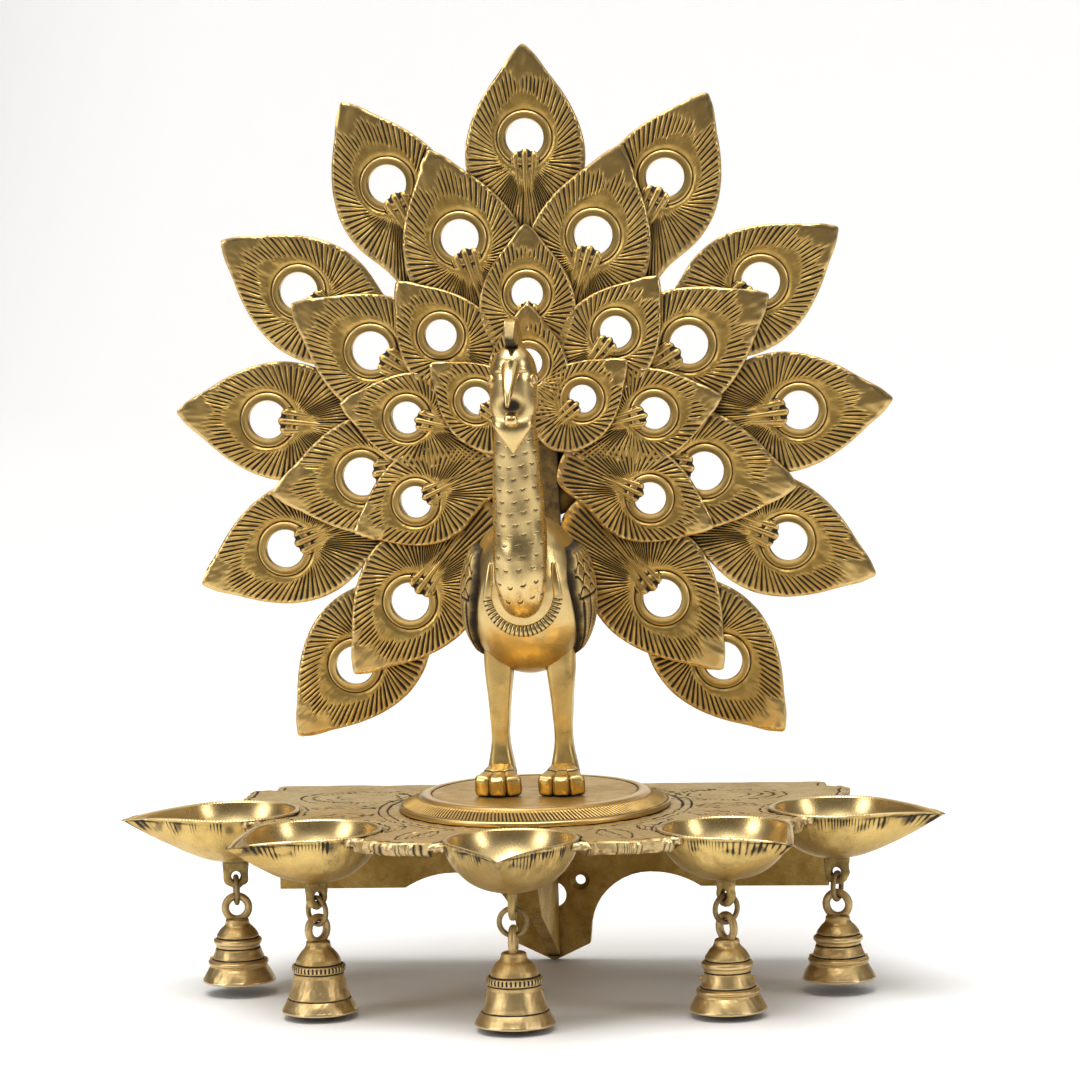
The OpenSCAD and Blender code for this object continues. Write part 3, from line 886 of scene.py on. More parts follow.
def feather_outline(tip, half, root, count):
    """Evenly spaced points round a feather, clockwise from its tip, with its eye at the origin."""
    side = [(0, tip), (0.12 * half, 0.94 * tip), (0.4 * half, 0.7 * tip), (0.69 * half, 0.43 * tip)]
    side += [(0.9 * half, 0.14 * tip), (0.99 * half, -0.14 * tip), (0.96 * half, -0.4 * tip)]
    side += [(0.72 * half, -0.8 * tip), (0.42 * half, -0.96 * root)]
    other = [(-x, y) for x, y in side[:0:-1]]
    return along(side + [(0, -root)] + other, count, closed=True)


def feather_skin(sizes, row, seed):
    """One feather, lying back down with its eye at the origin: across, toward the tip, forward."""
    tip, half, hole, thick = row.tip, row.half, row.hole, FEATHER_THICK
    root = 1.4 * tip if row.reach - tip > 30 else tip
    pitch, depth = sizes.groove_pitch / MM, sizes.groove_depth / MM
    rough = feather_outline(tip, half, root, 60)
    edge = np.linalg.norm(np.diff(rough, axis=0, append=rough[:1]), axis=1).sum()
    barbs = round(edge / pitch)
    steps = BARB_STEPS * barbs
    outline = feather_outline(tip, half, root, steps)
    angle = np.arctan2(outline[:, 0], outline[:, 1])
    outline = outline * 0.992
    drawn = angle + 0.62 * np.sin(angle)
    ring = np.stack([np.sin(drawn), np.cos(drawn)], -1)
    wobble = waves(np.stack([np.cos(angle), np.sin(angle)], -1), seed, 1.2) * 0.15
    facet_at = 0.66 * tip * (1 + 0.12 * waves(ring, seed + 7, 0.5))
    phase = np.arange(steps) / BARB_STEPS
    chance = np.random.default_rng(SEED + seed).uniform(size=(4, barbs + 1))
    start, stop, sway, deep = chance[:, np.round(phase).astype(int)]
    points, hollow, worn = [], [], []

    def add(place, forward, dark=0.0, bright=0.0):
        points.append(np.column_stack([place, np.broadcast_to(forward, steps)]))
        hollow.append(np.broadcast_to(dark, steps))
        worn.append(np.broadcast_to(bright, steps))

    add(outline * 0.985, 0.05, 0.3)
    for share in (0.66, 0.33):
        add(ring * hole * (1 - share) + outline * share, 0.0, 0.25)
    add(ring * (hole + 0.3), 0.0, 0.5)
    add(ring * hole, 0.4, 0.4)
    add(ring * (hole - 0.1), thick - 0.4, 0.3)
    for out, up, dark, bright in EYE_RING:
        add(ring * (hole + out), thick + up + wobble * 0.5, dark, bright)
    inner = ring * (hole + 3.3)
    dome = sizes.feather_dome / MM
    foot = 0.07 + 0.06 * start + 0.12 * np.cos(angle / 2) ** 6
    for share in np.linspace(0.05, 1, 18):
        place = inner * (1 - share) + outline * share
        facet = soft_step(place[:, 1], 0.9 * facet_at, 1.08 * facet_at)
        body = soft_step(share, foot, foot + 0.14)
        body = body * (1 - soft_step(share, 0.84 + 0.06 * stop, 0.97))
        barb = groove(phase + (sway - 0.5) * 0.1 * share, 0.23) * body
        barb = np.clip(barb * (1 - facet) * (0.75 + 0.5 * deep), 0, 1)
        rim = soft_step(share, 0.86, 0.93) * (1 - soft_step(share, 0.985, 1.0))
        lumps = waves(place, seed + 3, 6) * 0.1 + waves(place, seed + 4, 2.2) * 0.04
        swell = 0.14 + dome * math.sin(math.pi * (0.15 + 0.8 * share))
        swell = swell - 0.25 * soft_step(share, 0.93, 1)
        relief = swell - depth * barb + 0.1 * rim + 0.1 * facet + lumps
        shade = 0.22 * soft_step(-place[:, 1], -2, 0.7 * root)
        bright = 0.15 * (1 - barb) + 0.3 * facet + 0.8 * rim
        add(place, thick + relief, np.maximum(barb, shade), bright)
    add(outline * 1.003, thick - 0.2, 0.1, 0.7)
    add(outline * 1.006, thick * 0.55, 0.4)
    return np.array(points), np.array(hollow), np.array(worn)


def quill_skin(row):
    """The fluted quill that runs from a feather's eye down to its root."""
    rows = 44
    u = np.linspace(0, 1, rows)[:, None]
    v = np.linspace(-1, 1, 41)
    half = row.half * 0.25 * (1 - 0.72 * u**1.2)
    flutes = groove(v * 1.5 + 0.5, 0.24) * (np.abs(v) < 0.9) * np.clip(4 * (1.1 - u), 0, 1)
    end = 2.9 - 2.2 * np.abs(v) ** 1.6 - 0.5 * groove(v * 1.5 + 0.5, 0.2)
    y = -row.hole + end - (1.15 * row.half + end) * u
    crown = (1 - v**2 * np.clip(u * 8, 0.3, 1)).clip(0) ** 0.6
    rise = 1.15 * np.clip(0.3 + u * 14, 0, 1) * (1 - 0.55 * u) * crown - 0.75 * flutes
    top = np.stack(np.broadcast_arrays(half * v, y, FEATHER_THICK + rise), -1)
    under = top[:, -2:0:-1].copy()
    under[..., 2] = 0.3
    side = soft_step(np.abs(v), 0.86, 1) * 0.8
    dark = np.concatenate([np.maximum(flutes, side), np.full(under.shape[:2], 0.5)], 1)
    lit = np.concatenate([(1 - flutes) * 0.3 * (1 - side), np.zeros(under.shape[:2])], 1)
    return np.concatenate([top, under], 1), dark, lit


def row_angles(row):
    """Angles of a row's feathers from the top."""
    turns = [side * (row.first + k * row.step) for k in range(row.a_side) for side in (-1, 1)]
    return ([0] if row.on_top else []) + turns


def on_fan(points, row, level, angle):
    """Moves a feather from its own frame to its place in the fan."""
    a = math.radians(angle)
    out = row.reach + row.upward * math.cos(2 * a) - row.tip
    x, y = points[..., 0], points[..., 1] + out
    forward = FAN_HIGH[1] - level * ROW_STEP - points[..., 2]
    across, up = x * math.cos(a) + y * math.sin(a), y * math.cos(a) - x * math.sin(a)
    return np.stack([across, forward, FAN_MIDDLE + up], -1)


def eyes_in_front(level):
    """Place and radius of every feather's eye in the rows in front of a level."""
    eyes = []
    for k, row in enumerate(TAIL_ROWS):
        for angle in row_angles(row) if k > level else ():
            x, _, z = on_fan(np.zeros(3), row, k, angle)
            eyes.append((x, z, row.hole + 0.35))
    return eyes


def add_pierced(casting, part, eyes):
    """Adds a part to a casting, cut through wherever an eye in front of it looks through it."""
    points = np.concatenate(part.points)
    low, high = points.min(0), points.max(0)
    near = [e for e in eyes if low[0] < e[0] + e[2] and high[0] > e[0] - e[2]]
    near = [e for e in near if low[2] < e[1] + e[2] and high[2] > e[1] - e[2]]
    near = [e for e in near if np.hypot(points[:, 0] - e[0], points[:, 2] - e[1]).min() < e[2]]
    marks = (np.concatenate(part.hollow), np.concatenate(part.worn))
    casting.patch(*(pierce(part, near) if near else (points, part.faces, *marks)))


def tail_casting(sizes):
    """The whole fan: rows of feathers with their quills, the hub they meet in and its stem."""
    casting = Casting()
    for level, row in enumerate(TAIL_ROWS):
        eyes = eyes_in_front(level)
        for k, angle in enumerate(row_angles(row)):
            skin, hollow, worn = feather_skin(sizes, row, 100 + 20 * level + k)
            feather = Casting()
            feather.grid(on_fan(skin, row, level, angle), hollow, worn, wrap=(True, True))
            add_pierced(casting, feather, eyes)
            skin, hollow, worn = quill_skin(row)
            quill = Casting()
            quill.tube(on_fan(skin, row, level, angle), hollow, worn, flip=True)
            add_pierced(casting, quill, eyes)
    back = FAN_HIGH[1]
    rim = [(25, 0), (26, 0.5), (26, 2.2), (25, 2.6)]
    hub = lathe([(0.5, 0), (12, 0), *rim, (12, 2.6), (0.5, 2.6)], 120)
    part = Casting()
    part.tube(turned(hub, 90, 0) + (0, back, FAN_MIDDLE), 0.3)
    add_pierced(casting, part, eyes_in_front(-1))
    rows = 40
    z = np.linspace(STEM_LOW, FAN_MIDDLE + 16, rows)
    radii = np.tile((9.0, 3.35), (rows, 1))
    radii[0] *= 0.8
    stem = sweep(np.column_stack([0 * z, 0 * z + back - 4.1, z]), radii, 48, square=0.35)
    stem[..., 1] += np.abs(waves(stem, 150, 9)) * 0.12
    casting.tube(stem, 0.5)
    return casting


# ---- bird ----

BODY_AT = np.array((0.0, -53.0, 106.0))
BODY_LEAN = 10.0
BODY_HALF = 27.5
BODY_RADIUS = 20.3
NECK_PATH = (
    (0, -66.5, 104.5), (0, -71.0, 106.8), (0, -73.2, 112), (0, -73.6, 119), (0, -73.4, 127),
    (0, -74.2, 137), (0, -75.6, 148), (0, -77.0, 158), (0, -78.0, 166), (0, -78.2, 172),
)
NECK_RADII = (5.5, 7.6, 8.6, 9.0, 8.9, 8.5, 8.0, 7.3, 6.9, 6.9)
# Parts of the head: path, half widths, steps round, squareness, hollow and worn
BEAK = (
    [(0, -84.8, 183.0), (0.3, -90.2, 180.2), (0.65, -95.2, 176.0), (1, -98.6, 171.2)],
    [(0, 3.2, 2.8), (0.35, 2.5, 2.3), (0.7, 1.6, 1.6), (1, 0.6, 0.6)],
    40, 0.8, 0.0, 0.95,
)
JAW = (
    [(0, -83.0, 167.4), (0.5, -87.6, 166.8), (1, -91.0, 165.4)],
    [(0, 2.6, 2.0), (0.5, 2.0, 1.5), (0.95, 1.5, 1.2), (1, 1.0, 0.8)],
    32, 0.6, 0.05, 0.9,
)
THROAT = (
    [(0, -82.6, 166.6), (0.3, -84.6, 164), (0.65, -84.9, 160.2), (1, -84.2, 155.2)],
    [(0, 7.0, 2.4), (0.3, 6.4, 2.4), (0.65, 3.9, 1.9), (1, 0.4, 0.5)],
    40, 0.85, 0.05, 0.8,
)
EYEBALL = ((0.1, -1.4), (1.2, -0.9), (1.6, 0), (1.35, 0.6), (0.8, 1.05), (0.1, 1.25))
FOOT_X = 10.6
ANKLE_Y = -51.5
LEG_PATH = (
    (0, 10.2, -53.0, 92), (0.3, 10.3, -53.4, 82), (0.65, 10.5, -53.0, 66),
    (0.9, FOOT_X, -52.2, 52), (1, FOOT_X, -52.0, 45),
)
LEG_WIDTHS = ((0, 5.0, 5.4), (0.3, 4.9, 5.0), (0.65, 3.5, 3.8), (0.85, 3.2, 3.5), (1, 5.0, 4.6))
TOES = ((-23, 14.6), (0, 15.4), (23, 14.6))
TOE_WIDTHS = ((0, 2.6, 4.2), (0.4, 2.45, 4.1), (0.8, 2.5, 3.5), (0.97, 2.4, 3.1), (1, 1.9, 2.5))


def body_radius(height):
    """Radius of the egg-shaped body at a height from its middle."""
    t = np.clip(height / BODY_HALF, -1, 1)
    return BODY_RADIUS * (1 - np.abs(t) ** 2.3) ** 0.56 * (1 - 0.05 * t)


def on_body(azimuth, height, proud):
    """Points on the body: azimuth in degrees from straight forward toward +X."""
    a = np.radians(azimuth)
    r = body_radius(height) + proud
    local = np.stack([r * np.sin(a), -r * np.cos(a) * 0.97, height + 0 * a], -1)
    return turned(local, BODY_LEAN, 0) + BODY_AT


def body_skin():
    """The egg-shaped body, brighter on the upper front, and darker on the lower front and behind.
    """
    height = BODY_HALF * np.sin(np.linspace(-0.495, 0.495, 120) * math.pi)
    azimuth = np.linspace(0, 360, 240, endpoint=False)
    azimuth, height = np.meshgrid(azimuth, height)
    skin = on_body(azimuth, height, 0)
    skin += (waves(skin, 200, 14) * 0.16 + waves(skin, 201, 4) * 0.04)[..., None] * (0, -1, 0)
    away = np.abs((azimuth + 180) % 360 - 180)
    front = 1 - soft_step(away, 45, 80)
    low = soft_step(-height, 2, 22)
    return skin, 0.28 * (1 - front) + 0.24 * low * front, 0.2 + 0.5 * front * (1 - low)


def wing_skin(side):
    """A folded wing: coverts in rows at the shoulder, and long quills drawn down to a point."""
    rows, columns = 150, 84
    u = np.linspace(0, 1, rows)[:, None]
    v = np.linspace(0, 1, columns)[None]
    height = 17.5 - 38.5 * u
    front = curve([(0, 62), (0.2, 50), (0.5, 52), (0.8, 62), (1, 74)], u[:, 0])
    back = curve([(0, 92), (0.2, 122), (0.5, 128), (0.8, 104), (1, 82)], u[:, 0])
    azimuth = front + (back - front) * v
    edge = np.minimum(np.minimum(v, 1 - v) * 9, 1) * np.minimum(np.minimum(u, 1 - u) * 14, 1)
    proud = 0.3 + 2.3 * np.sqrt(np.clip(edge, 0, 1))
    row = u / 0.105
    shift = 0.5 * (np.floor(row) % 2)
    cell = (v * 6 + shift) % 1 - 0.5
    within = row % 1
    scallop = near(within, 0.25 + 2.6 * cell**2, 0.13)
    coverts = scallop * (1 - soft_step(u, 0.4, 0.46))
    quill = groove(v * 7 + 0.4 * u, 0.13) * soft_step(u, 0.4, 0.5)
    barb = groove(u * 60 + np.abs((v * 7) % 1 - 0.5) * 5, 0.25) * soft_step(u, 0.44, 0.5) * 0.45
    band = near(u, 0.43, 0.012) + 0 * v
    cut = np.clip(coverts + quill + barb + band, 0, 1) * (edge > 0.6)
    proud = proud - 0.6 * cut
    outer = on_body(side * azimuth, height + 0 * v, proud)
    inner = on_body(side * azimuth, height + 0 * v, -1.0)[:, ::-1]
    skin = np.concatenate([outer, inner], 1)
    flat = np.zeros(inner.shape[:2])
    shine = 0.45 * (1 - cut) * edge
    # Some darkness all over, and more toward the wing's borders, where it meets the body.
    cut = np.maximum(cut, 0.22 + 0.5 * (1 - edge))
    return skin, np.concatenate([cut, flat], 1), np.concatenate([shine, flat], 1)


def neck_skin(sizes):
    """The neck, covered in small crescents, rising out of the breast."""
    rows, steps = 210, 150
    centre = np.array(NECK_PATH, float)
    stops = np.column_stack([centre, NECK_RADII])
    line = along(stops, rows)
    skin = sweep(line[:, :3], np.column_stack([line[:, 3], line[:, 3]]), steps)
    run = np.concatenate([[0], np.cumsum(np.linalg.norm(np.diff(line[:, :3], axis=0), axis=1))])
    angle = bearings(steps)
    pitch = sizes.scale_pitch / MM
    around = 12
    row = run[:, None] / pitch + 0.14 * np.sin(3 * angle[None] + 1)
    shift = 0.5 * (np.round(row) % 2) + 0.11 * np.sin(np.round(row) * 2.7)
    cell = angle[None] * around / (2 * math.pi) + shift
    dx = (cell - np.round(cell)) * 2 * math.pi / around * line[:, 3:4]
    dy = (row - np.round(row)) * pitch
    bow = near(np.hypot(dx, dy - 0.7), 1.05, 0.2) * soft_step(-dy, -0.3, 0.1)
    ends = soft_step(run, 2, 5) * (1 - soft_step(run, run[-1] - 9, run[-1] - 6))
    cut = bow * ends[:, None]
    out = skin - line[:, None, :3]
    out /= np.linalg.norm(out, axis=2)[..., None]
    skin = skin + out * (waves(skin, 210, 8) * 0.12 - 0.16 * cut)[..., None]
    return skin, cut, 0.9 - 0.9 * cut


def collar_skin():
    """The knurled horseshoe on the breast, round the foot of the neck."""
    count = 168
    run = np.linspace(-1, 1, count)
    bend = np.clip(run / 0.62, -1, 1) * math.pi / 2
    x = 11.2 * np.sin(bend) - np.sign(run) * 3.2 * np.clip(np.abs(run) / 0.62 - 1, 0, 1)
    z = 112.6 - 11.2 * np.cos(bend) + 28 * np.clip(np.abs(run) - 0.62, 0, 1)
    radius = body_radius(z - BODY_AT[2])
    azimuth = np.degrees(np.arcsin(np.clip(x / radius, -0.97, 0.97)))
    centre = on_body(azimuth, z - BODY_AT[2] - 3.0, 0.35)
    girth = 0.35 + 0.65 * np.cos(run * math.pi / 2) ** 0.5
    ring = np.where(np.abs(run) < 0.6, np.abs(np.sin(np.arange(count) * math.pi / 4)), 0.8)
    radii = np.column_stack([1.9 * girth, (0.75 + 0.35 * ring) * girth])
    skin = sweep(centre, radii[:, ::-1], 20, up=(0, -1, 0))
    return skin, (1 - ring)[:, None] * 0.75, ring[:, None] * 0.9


def head_casting(casting):
    """Skull, beak, throat and crest."""
    stops = [
        (0, -79.6, 164.6, 3.4, 4.2), (0, -79.8, 165.6, 6.4, 6.6), (0, -79.9, 168.6, 7.5, 7.4),
        (0, -79.8, 175.0, 7.8, 7.8), (0, -79.4, 181.5, 7.7, 7.9), (0, -79.0, 185.8, 6.5, 6.9),
        (0, -78.8, 188.6, 4.2, 4.6), (0, -78.7, 189.9, 0.7, 0.8),
    ]
    line = along(stops, 90)
    skull = sweep(line[:, :3], line[:, 3:5], 120)
    face = np.clip(-(skull[..., 1] + 79.8) / 7.8, 0, 1)
    brow = near(skull[..., 2], 182.6, 0.7) * soft_step(face, 0.55, 0.8)
    below = near(skull[..., 2], 180.9, 1.0) * soft_step(face, 0.5, 0.8)
    mouth = near(skull[..., 2], 170.6, 2.4) * near(skull[..., 0], 0, 3.4) * (face > 0.5)
    skull[..., 1] += 0.3 * below - 0.25 * brow + 1.8 * mouth
    skull += (waves(skull, 220, 9) * 0.04)[..., None]
    casting.tube(skull, np.clip(mouth * 0.95 + below * 0.1, 0, 1), 0.95 * (1 - mouth))
    u = np.linspace(0, 1, 60)
    for path, widths, steps, square, hollow, worn in (BEAK, JAW, THROAT):
        line = np.column_stack([0 * u, curve(path, u)])
        casting.tube(sweep(line, curve(widths, u), steps, square=square), hollow, worn)
    for side in (-1, 1):
        eye = turned(torus(1.9, 0.42, 48, 14), 90, 1)
        eye = turned(eye, -side * 24, 2) + (side * 7.1, -83.0, 178.4)
        casting.grid(eye, 0.1, 0.8, wrap=(True, True))
        ball = lathe(EYEBALL, 32)
        ball = turned(turned(ball, side * 90, 1), -side * 24, 2) + (side * 6.8, -82.9, 178.4)
        casting.tube(ball, 0.25, 0.6)
    crest_casting(casting)


def crest_casting(casting):
    """The flat crest along the top of the skull, cut into three plumes."""
    u = np.linspace(0, 1, 90)
    y = -83.4 + 11.8 * u
    plumes = np.abs(np.sin(u * 3 * math.pi)) ** 0.3
    top = 199.0 - 1.2 * (1 - plumes) - 5.5 * u**2
    low = 182.0 + 0 * u
    path = np.column_stack([0 * u, y, (top + low) / 2])
    ends = np.clip(np.minimum(u, 1 - u) * 45, 0.75, 1)
    skin = sweep(path, np.column_stack([2.15 * ends, (top - low) / 2 * ends]), 48, square=0.22)
    casting.tube(skin, ((1 - plumes) * 0.6)[:, None], 0.85)


def leg_casting(casting):
    """Flat-fronted legs and chunky feet, with three toes and a spur each."""
    u = np.linspace(0, 1, 70)
    floor = DISC_HIGH[2] + 0.02
    for side in (-1, 1):
        leg = sweep(curve(LEG_PATH, u) * (side, 1, 1), curve(LEG_WIDTHS, u), 48, square=0.55)
        leg[..., 1] += np.abs(waves(leg, 230 + side, 8)) * 0.18
        # Dark patches at random, and darker all along the back of each leg.
        pits_and_dark_back = 0.2 * soft_step(waves(leg, 235 + side, 9), -0.6, 1.4)
        pits_and_dark_back = pits_and_dark_back + 0.35 * soft_step(leg[..., 1], -54, -48)
        casting.tube(leg, 0.12 + 0.85 * pits_and_dark_back, 0.25 * (1 - pits_and_dark_back))
        knuckle = near(u, 0.62, 0.03) * 0.7
        for turn, reach in TOES:
            a = math.radians(turn)
            stops = [(0, 0.5, 45.6), (0.4, 5.6, 44.4), (0.8, 11.6, 42.9), (1, reach, 42.2)]
            run, up = curve(stops, u).T
            girth = curve(TOE_WIDTHS, u) * (1 - 0.1 * knuckle)[:, None]
            x, y = side * FOOT_X + run * math.sin(a), ANKLE_Y - run * math.cos(a)
            skin = sweep(np.column_stack([x, y, up]), girth, 40, square=0.42)
            skin[..., 2] += waves(skin, 240 + turn, 5) * 0.15
            skin[..., 2] = np.maximum(skin[..., 2], floor)
            casting.tube(skin, (0.15 + knuckle * 0.8)[:, None], (0.3 * (1 - knuckle))[:, None])
        spur = curve([(0, -50.5, 45), (0.5, -45.5, 43.2), (1, -41.8, 40.6)], u)
        girth = curve([(0, 2.9, 2.9), (0.5, 2.3, 2.3), (0.9, 1.3, 1.2), (1, 0.4, 0.4)], u)
        skin = sweep(np.column_stack([0 * u + side * FOOT_X, spur]), girth, 24)
        skin[..., 2] = np.maximum(skin[..., 2], floor)
        casting.tube(skin, 0.1, 0.5)


# ---- the stage, with its floor in millimetres and the rest in metres, degrees and watts ----

FLOOR_GAP = 0.05
FLOOR_REACH = 2820.0
BEND = 900.0
WALL_RISE = 2400.0
STAGE_STEPS = 160
GLOW = 0.36
SKY = 0.8
LIGHT_AIM = (0, -0.05, 0.12)
LIGHTS = (
    ("overhead", (-0.2, -0.35, 1.7), (1.5, 1.2), 34),
    ("left", (-1.7, -1.3, 0.9), (0.8, 1.2), 14),
    ("right", (1.8, -0.9, 0.8), (0.5, 1.1), 8),
)
CAMERA_ANGLES = (6.7, 5.7, -1.5)
CAMERA_MIDDLE = (0, -0.06, 0.122)
CAMERA_SHIFT = (0.0051, 0.00205)
CAMERA_AWAY = 1.5
CAMERA_LENS = 151


# ---- the steps of the build ----


class LAMP_OT_plate(bpy.types.Operator):
    """Cast and engraved shelf plate"""

    bl_idname = "lamp.plate"
    bl_label = "Shelf plate"

    def execute(self, context):
        sizes, colours = settings()
        finish = brass("plate brass", colours.dull, 0.4, toning=0.5, grime_and_shade=0.6, grain=0.55)
        casting = Casting()
        skin, hollow, worn = plate_skin(sizes)
        casting.grid(skin, hollow, worn, wrap=(True, True), flip=True)
        for curl in curl_skins():
            casting.tube(curl, 0.1, 0.6)
        casting.build("shelf_plate", finish, "lamp", "plate_brass", ["base_plate"])
        return {"FINISHED"}


class LAMP_OT_pedestal(bpy.types.Operator):
    """Round pedestal with a knurled slope"""

    bl_idname = "lamp.pedestal"
    bl_label = "Pedestal"

    def execute(self, context):
        sizes, colours = settings()
        finish = brass("pedestal brass", colours.golden, 0.36, toning=0.5, grime_and_shade=0.45, grain=0.35)
        casting = Casting()
        casting.tube(*disc_skin(sizes))
        casting.build("pedestal", finish, "lamp", "disc_brass", ["pedestal_disc"])
        return {"FINISHED"}


class LAMP_OT_bracket(bpy.types.Operator):
    """Wall panel and rib under the plate, and the screws that hold the casting together"""

    bl_idname = "lamp.bracket"
    bl_label = "Wall bracket"

    def execute(self, context):
        _, colours = settings()
        finish = brass("bracket brass", colours.bright, 0.42, 0.9, 1.0, 0.8, (0.5, 1, 4), 5)
        for node in ("wall_panel", "bracket_rib"):
            dress(node, finish)
        steel = brass("screw steel", colours.steel, 0.35, 0.1, 0.8, 0.3, (1, 1, 6))
        for node in ("foot_screws", "tail_screw"):
            dress(node, steel)
        return {"FINISHED"}


class LAMP_OT_cups(bpy.types.Operator):
    """Five oil cups with their hanging eyes"""

    bl_idname = "lamp.cups"
    bl_label = "Oil cups"

    def execute(self, context):
        sizes, colours = settings()
        finish = brass("cup brass", colours.bright, 0.32, toning=0.5, grime_and_shade=0.75, grain=0.35)
        for n in CUPS:
            (x, y), turn = cup_place(n)
            turn = math.degrees(turn)
            casting = Casting()
            skin, hollow, worn = cup_skin(sizes, n)
            casting.tube(turned(skin, turn, 2) + (x, y, CUP_RIM), hollow, worn)
            lug = turned(turned(lug_skin(300 + n), 90, 2), turn, 2) + (x, y, CUP_RIM - LUG_DROP)
            casting.grid(lug, 0.4, 0.1, wrap=(True, True))
            casting.build(f"cup_{n}", finish, "lamp", "cup_brass", [f"oil_cup_{n}"])
        return {"FINISHED"}


class LAMP_OT_bells(bpy.types.Operator):
    """Five bells, each on a bent ring, with a clapper on a cross pin"""

    bl_idname = "lamp.bells"
    bl_label = "Bells"

    def execute(self, context):
        _, colours = settings()
        bell = brass("bell brass", colours.satin, 0.36, toning=0.4, grime_and_shade=0.6, grain=0.35)
        link = brass("link brass", colours.brown, 0.42, 0.9, 0.9, 0.4, crevice=1.2)
        pin = brass("pin brass", colours.golden, 0.4, 0.5, 0.8, 0.4, crevice=1.2)
        iron = brass("clapper iron", colours.iron, 0.5, toning=0.4, grime_and_shade=0.9, grain=0.7)
        for n in CUPS:
            hung, body = Hanging(n), f"bell_body_{n}"
            hung.bell().build(body, bell, body, "bell_brass", [f"bell_{n}"])
            hung.ring().build(f"ring_{n}", link, f"ring_{n}", "link_brass", [f"ring_link_{n}"])
            hung.pin().build(f"pin_{n}", pin, body, "pin_brass", [f"clapper_pin_{n}"])
            name, body = f"clapper_piece_{n}", f"clapper_body_{n}"
            hung.clapper().build(name, iron, body, "clapper_iron", [f"clapper_{n}"])
        return {"FINISHED"}


class LAMP_OT_tail(bpy.types.Operator):
    """Pierced fan of engraved feathers"""

    bl_idname = "lamp.tail"
    bl_label = "Tail fan"

    def execute(self, context):
        sizes, colours = settings()
        finish = brass("tail brass", colours.golden, 0.32, 0.5, 0.6, 0.3, crevice=4.5)
        tail_casting(sizes).build("fan_tail", finish, "lamp", "tail_brass", ["tail_fan"])
        return {"FINISHED"}


class LAMP_OT_bird(bpy.types.Operator):
    """Standing peacock"""

    bl_idname = "lamp.bird"
    bl_label = "Peacock"

    def execute(self, context):
        sizes, colours = settings()
        finish = brass("bird brass", colours.bright, 0.3, 0.55, 0.55, 0.3, crevice=3)
        casting = Casting()
        casting.tube(*body_skin())
        for side in (-1, 1):
            casting.grid(*wing_skin(side), wrap=(False, True), flip=side < 0)
        casting.tube(*neck_skin(sizes))
        casting.tube(*collar_skin())
        head_casting(casting)
        leg_casting(casting)
        casting.build("standing_peacock", finish, "lamp", "peacock_brass", ["peacock"])
        return {"FINISHED"}


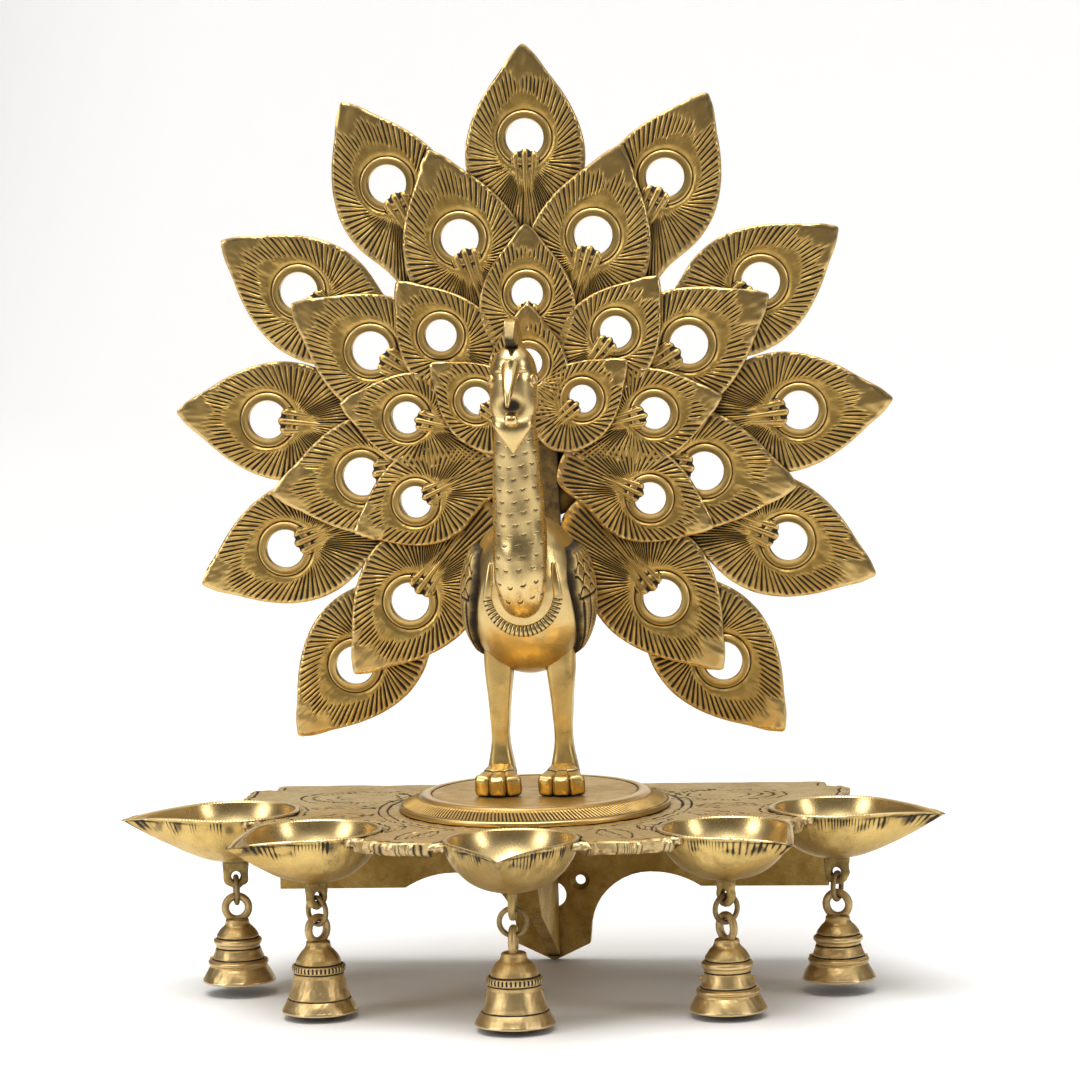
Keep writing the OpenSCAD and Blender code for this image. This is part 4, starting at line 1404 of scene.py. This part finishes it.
class LAMP_OT_stage(bpy.types.Operator):
    """Pale floor that curves up into a backdrop, soft lights and the camera"""

    bl_idname = "lamp.stage"
    bl_label = "Stage"

    def execute(self, context):
        _, colours = settings()
        floor_z = PANEL_LOW[2] - FLOOR_GAP
        flat = np.column_stack([np.linspace(20, FLOOR_REACH, 60), np.full(60, floor_z)])
        a = np.linspace(0, 0.5 * math.pi, 30)[1:]
        bend = (FLOOR_REACH, floor_z) + BEND * np.column_stack([np.sin(a), 1 - np.cos(a)])
        rise = floor_z + BEND + np.linspace(100, WALL_RISE, 8)
        wall = np.column_stack([np.full(8, FLOOR_REACH + BEND), rise])
        bowl = Casting()
        bowl.grid(lathe(np.concatenate([flat, bend, wall]), STAGE_STEPS), wrap=(False, True))
        bowl.faces.append(list(range(STAGE_STEPS))[::-1])
        mesh = bpy.data.meshes.new("backdrop")
        mesh.from_pydata((np.concatenate(bowl.points) * MM).tolist(), [], bowl.faces)
        mesh.shade_smooth()
        mesh.materials.append(self.paper(colours))
        backdrop = bpy.data.objects.new("backdrop", mesh)
        context.scene.collection.objects.link(backdrop)
        world = bpy.data.worlds.new("studio")
        context.scene.world = world
        world.use_nodes = True
        sky = world.node_tree.nodes["Background"].inputs
        sky["Color"].default_value = (1, 0.99, 0.98, 1)
        sky["Strength"].default_value = SKY
        for name, place, size, power in LIGHTS:
            self.light(name, place, size, power)
        context.scene.view_settings.view_transform = "Standard"
        self.camera(context)
        return {"FINISHED"}

    def paper(self, colours):
        """Pale and faintly glowing behind and near the lamp, and grey in front and far to its
        sides, where the metal mirrors it."""
        finish = Finish("floor paper")
        place = finish.node("ShaderNodeTexCoord", output=3)
        dot = {"operation": "DOT_PRODUCT"}
        back = finish.node("ShaderNodeVectorMath", dot, {0: place, 1: (0, 1, 0)}, 1)
        side = finish.node("ShaderNodeVectorMath", dot, {0: place, 1: (1, 0, 0)}, 1)
        pale = back.step(-1.1, -0.1) * (1 - (side * side).step(0.5, 2.6))
        look = {
            "Base Color": finish.blend(pale, tuple(colours.shade), tuple(colours.floor)),
            "Roughness": 0.75,
            "Emission Color": finish.blend(back.step(-0.2, 2.4) * pale, (0, 0, 0), (1, 1, 1)),
            "Emission Strength": GLOW,
        }
        shader = finish.node("ShaderNodeBsdfPrincipled", None, look)
        finish.node("ShaderNodeOutputMaterial", None, {"Surface": shader})
        return finish.material

    def light(self, name, place, size, power):
        """A rectangular lamp, in metres and watts, that faces the lamp's middle."""
        lamp = bpy.data.lights.new(name, "AREA")
        lamp.shape = "RECTANGLE"
        lamp.size, lamp.size_y = size
        lamp.energy = power
        holder = bpy.data.objects.new(name, lamp)
        holder.location = place
        aim = Vector(LIGHT_AIM) - Vector(place)
        holder.rotation_euler = aim.to_track_quat("-Z", "Y").to_euler()
        bpy.context.scene.collection.objects.link(holder)

    def camera(self, context):
        """Looks a little down from the front and a little right, with a slight roll."""
        turn, rise, roll = [math.radians(angle) for angle in CAMERA_ANGLES]
        middle = Vector(CAMERA_MIDDLE)
        flat = math.cos(rise)
        out = Vector((math.sin(turn) * flat, -math.cos(turn) * flat, math.sin(rise)))
        right = Vector((math.cos(turn), math.sin(turn), 0))
        aim = middle + right * CAMERA_SHIFT[0] + out.cross(right) * CAMERA_SHIFT[1]
        data = bpy.data.cameras.new("camera")
        data.lens = CAMERA_LENS
        data.sensor_width = 36
        camera = bpy.data.objects.new("camera", data)
        camera.location = middle + out * CAMERA_AWAY
        camera.rotation_mode = "QUATERNION"
        facing = (aim - camera.location).to_track_quat("-Z", "Y")
        camera.rotation_quaternion = facing @ Quaternion((0, 0, 1), roll)
        context.scene.collection.objects.link(camera)
        context.scene.camera = camera


class LAMP_PT_panel(bpy.types.Panel):
    """Lists the lamp's pieces and settings"""

    bl_idname = "LAMP_PT_panel"
    bl_label = "Peacock oil lamp"
    bl_space_type = "VIEW_3D"
    bl_region_type = "UI"
    bl_category = "Lamp"

    def draw(self, context):
        for step in STEPS:
            self.layout.operator(step.bl_idname)
        for group in (context.scene.lamp_sizes, context.scene.lamp_colours):
            for name in group.__annotations__:
                self.layout.prop(group, name)


STEPS = (
    LAMP_OT_plate,
    LAMP_OT_pedestal,
    LAMP_OT_bracket,
    LAMP_OT_cups,
    LAMP_OT_bells,
    LAMP_OT_tail,
    LAMP_OT_bird,
    LAMP_OT_stage,
)
CLASSES = (LampSizes, LampColours, *STEPS, LAMP_PT_panel)


def register():
    """Adds the lamp's classes and its settings."""
    for kind in CLASSES:
        bpy.utils.register_class(kind)
    bpy.types.Scene.lamp_sizes = PointerProperty(type=LampSizes)
    bpy.types.Scene.lamp_colours = PointerProperty(type=LampColours)


def unregister():
    """Takes the lamp's classes and its settings away."""
    del bpy.types.Scene.lamp_colours
    del bpy.types.Scene.lamp_sizes
    for kind in reversed(CLASSES):
        bpy.utils.unregister_class(kind)


def main():
    """Builds the lamp and its stage."""
    register()
    bpy.ops.lamp.plate()
    bpy.ops.lamp.pedestal()
    bpy.ops.lamp.bracket()
    bpy.ops.lamp.cups()
    bpy.ops.lamp.bells()
    bpy.ops.lamp.tail()
    bpy.ops.lamp.bird()
    bpy.ops.lamp.stage()


if __name__ == "__main__":
    main()
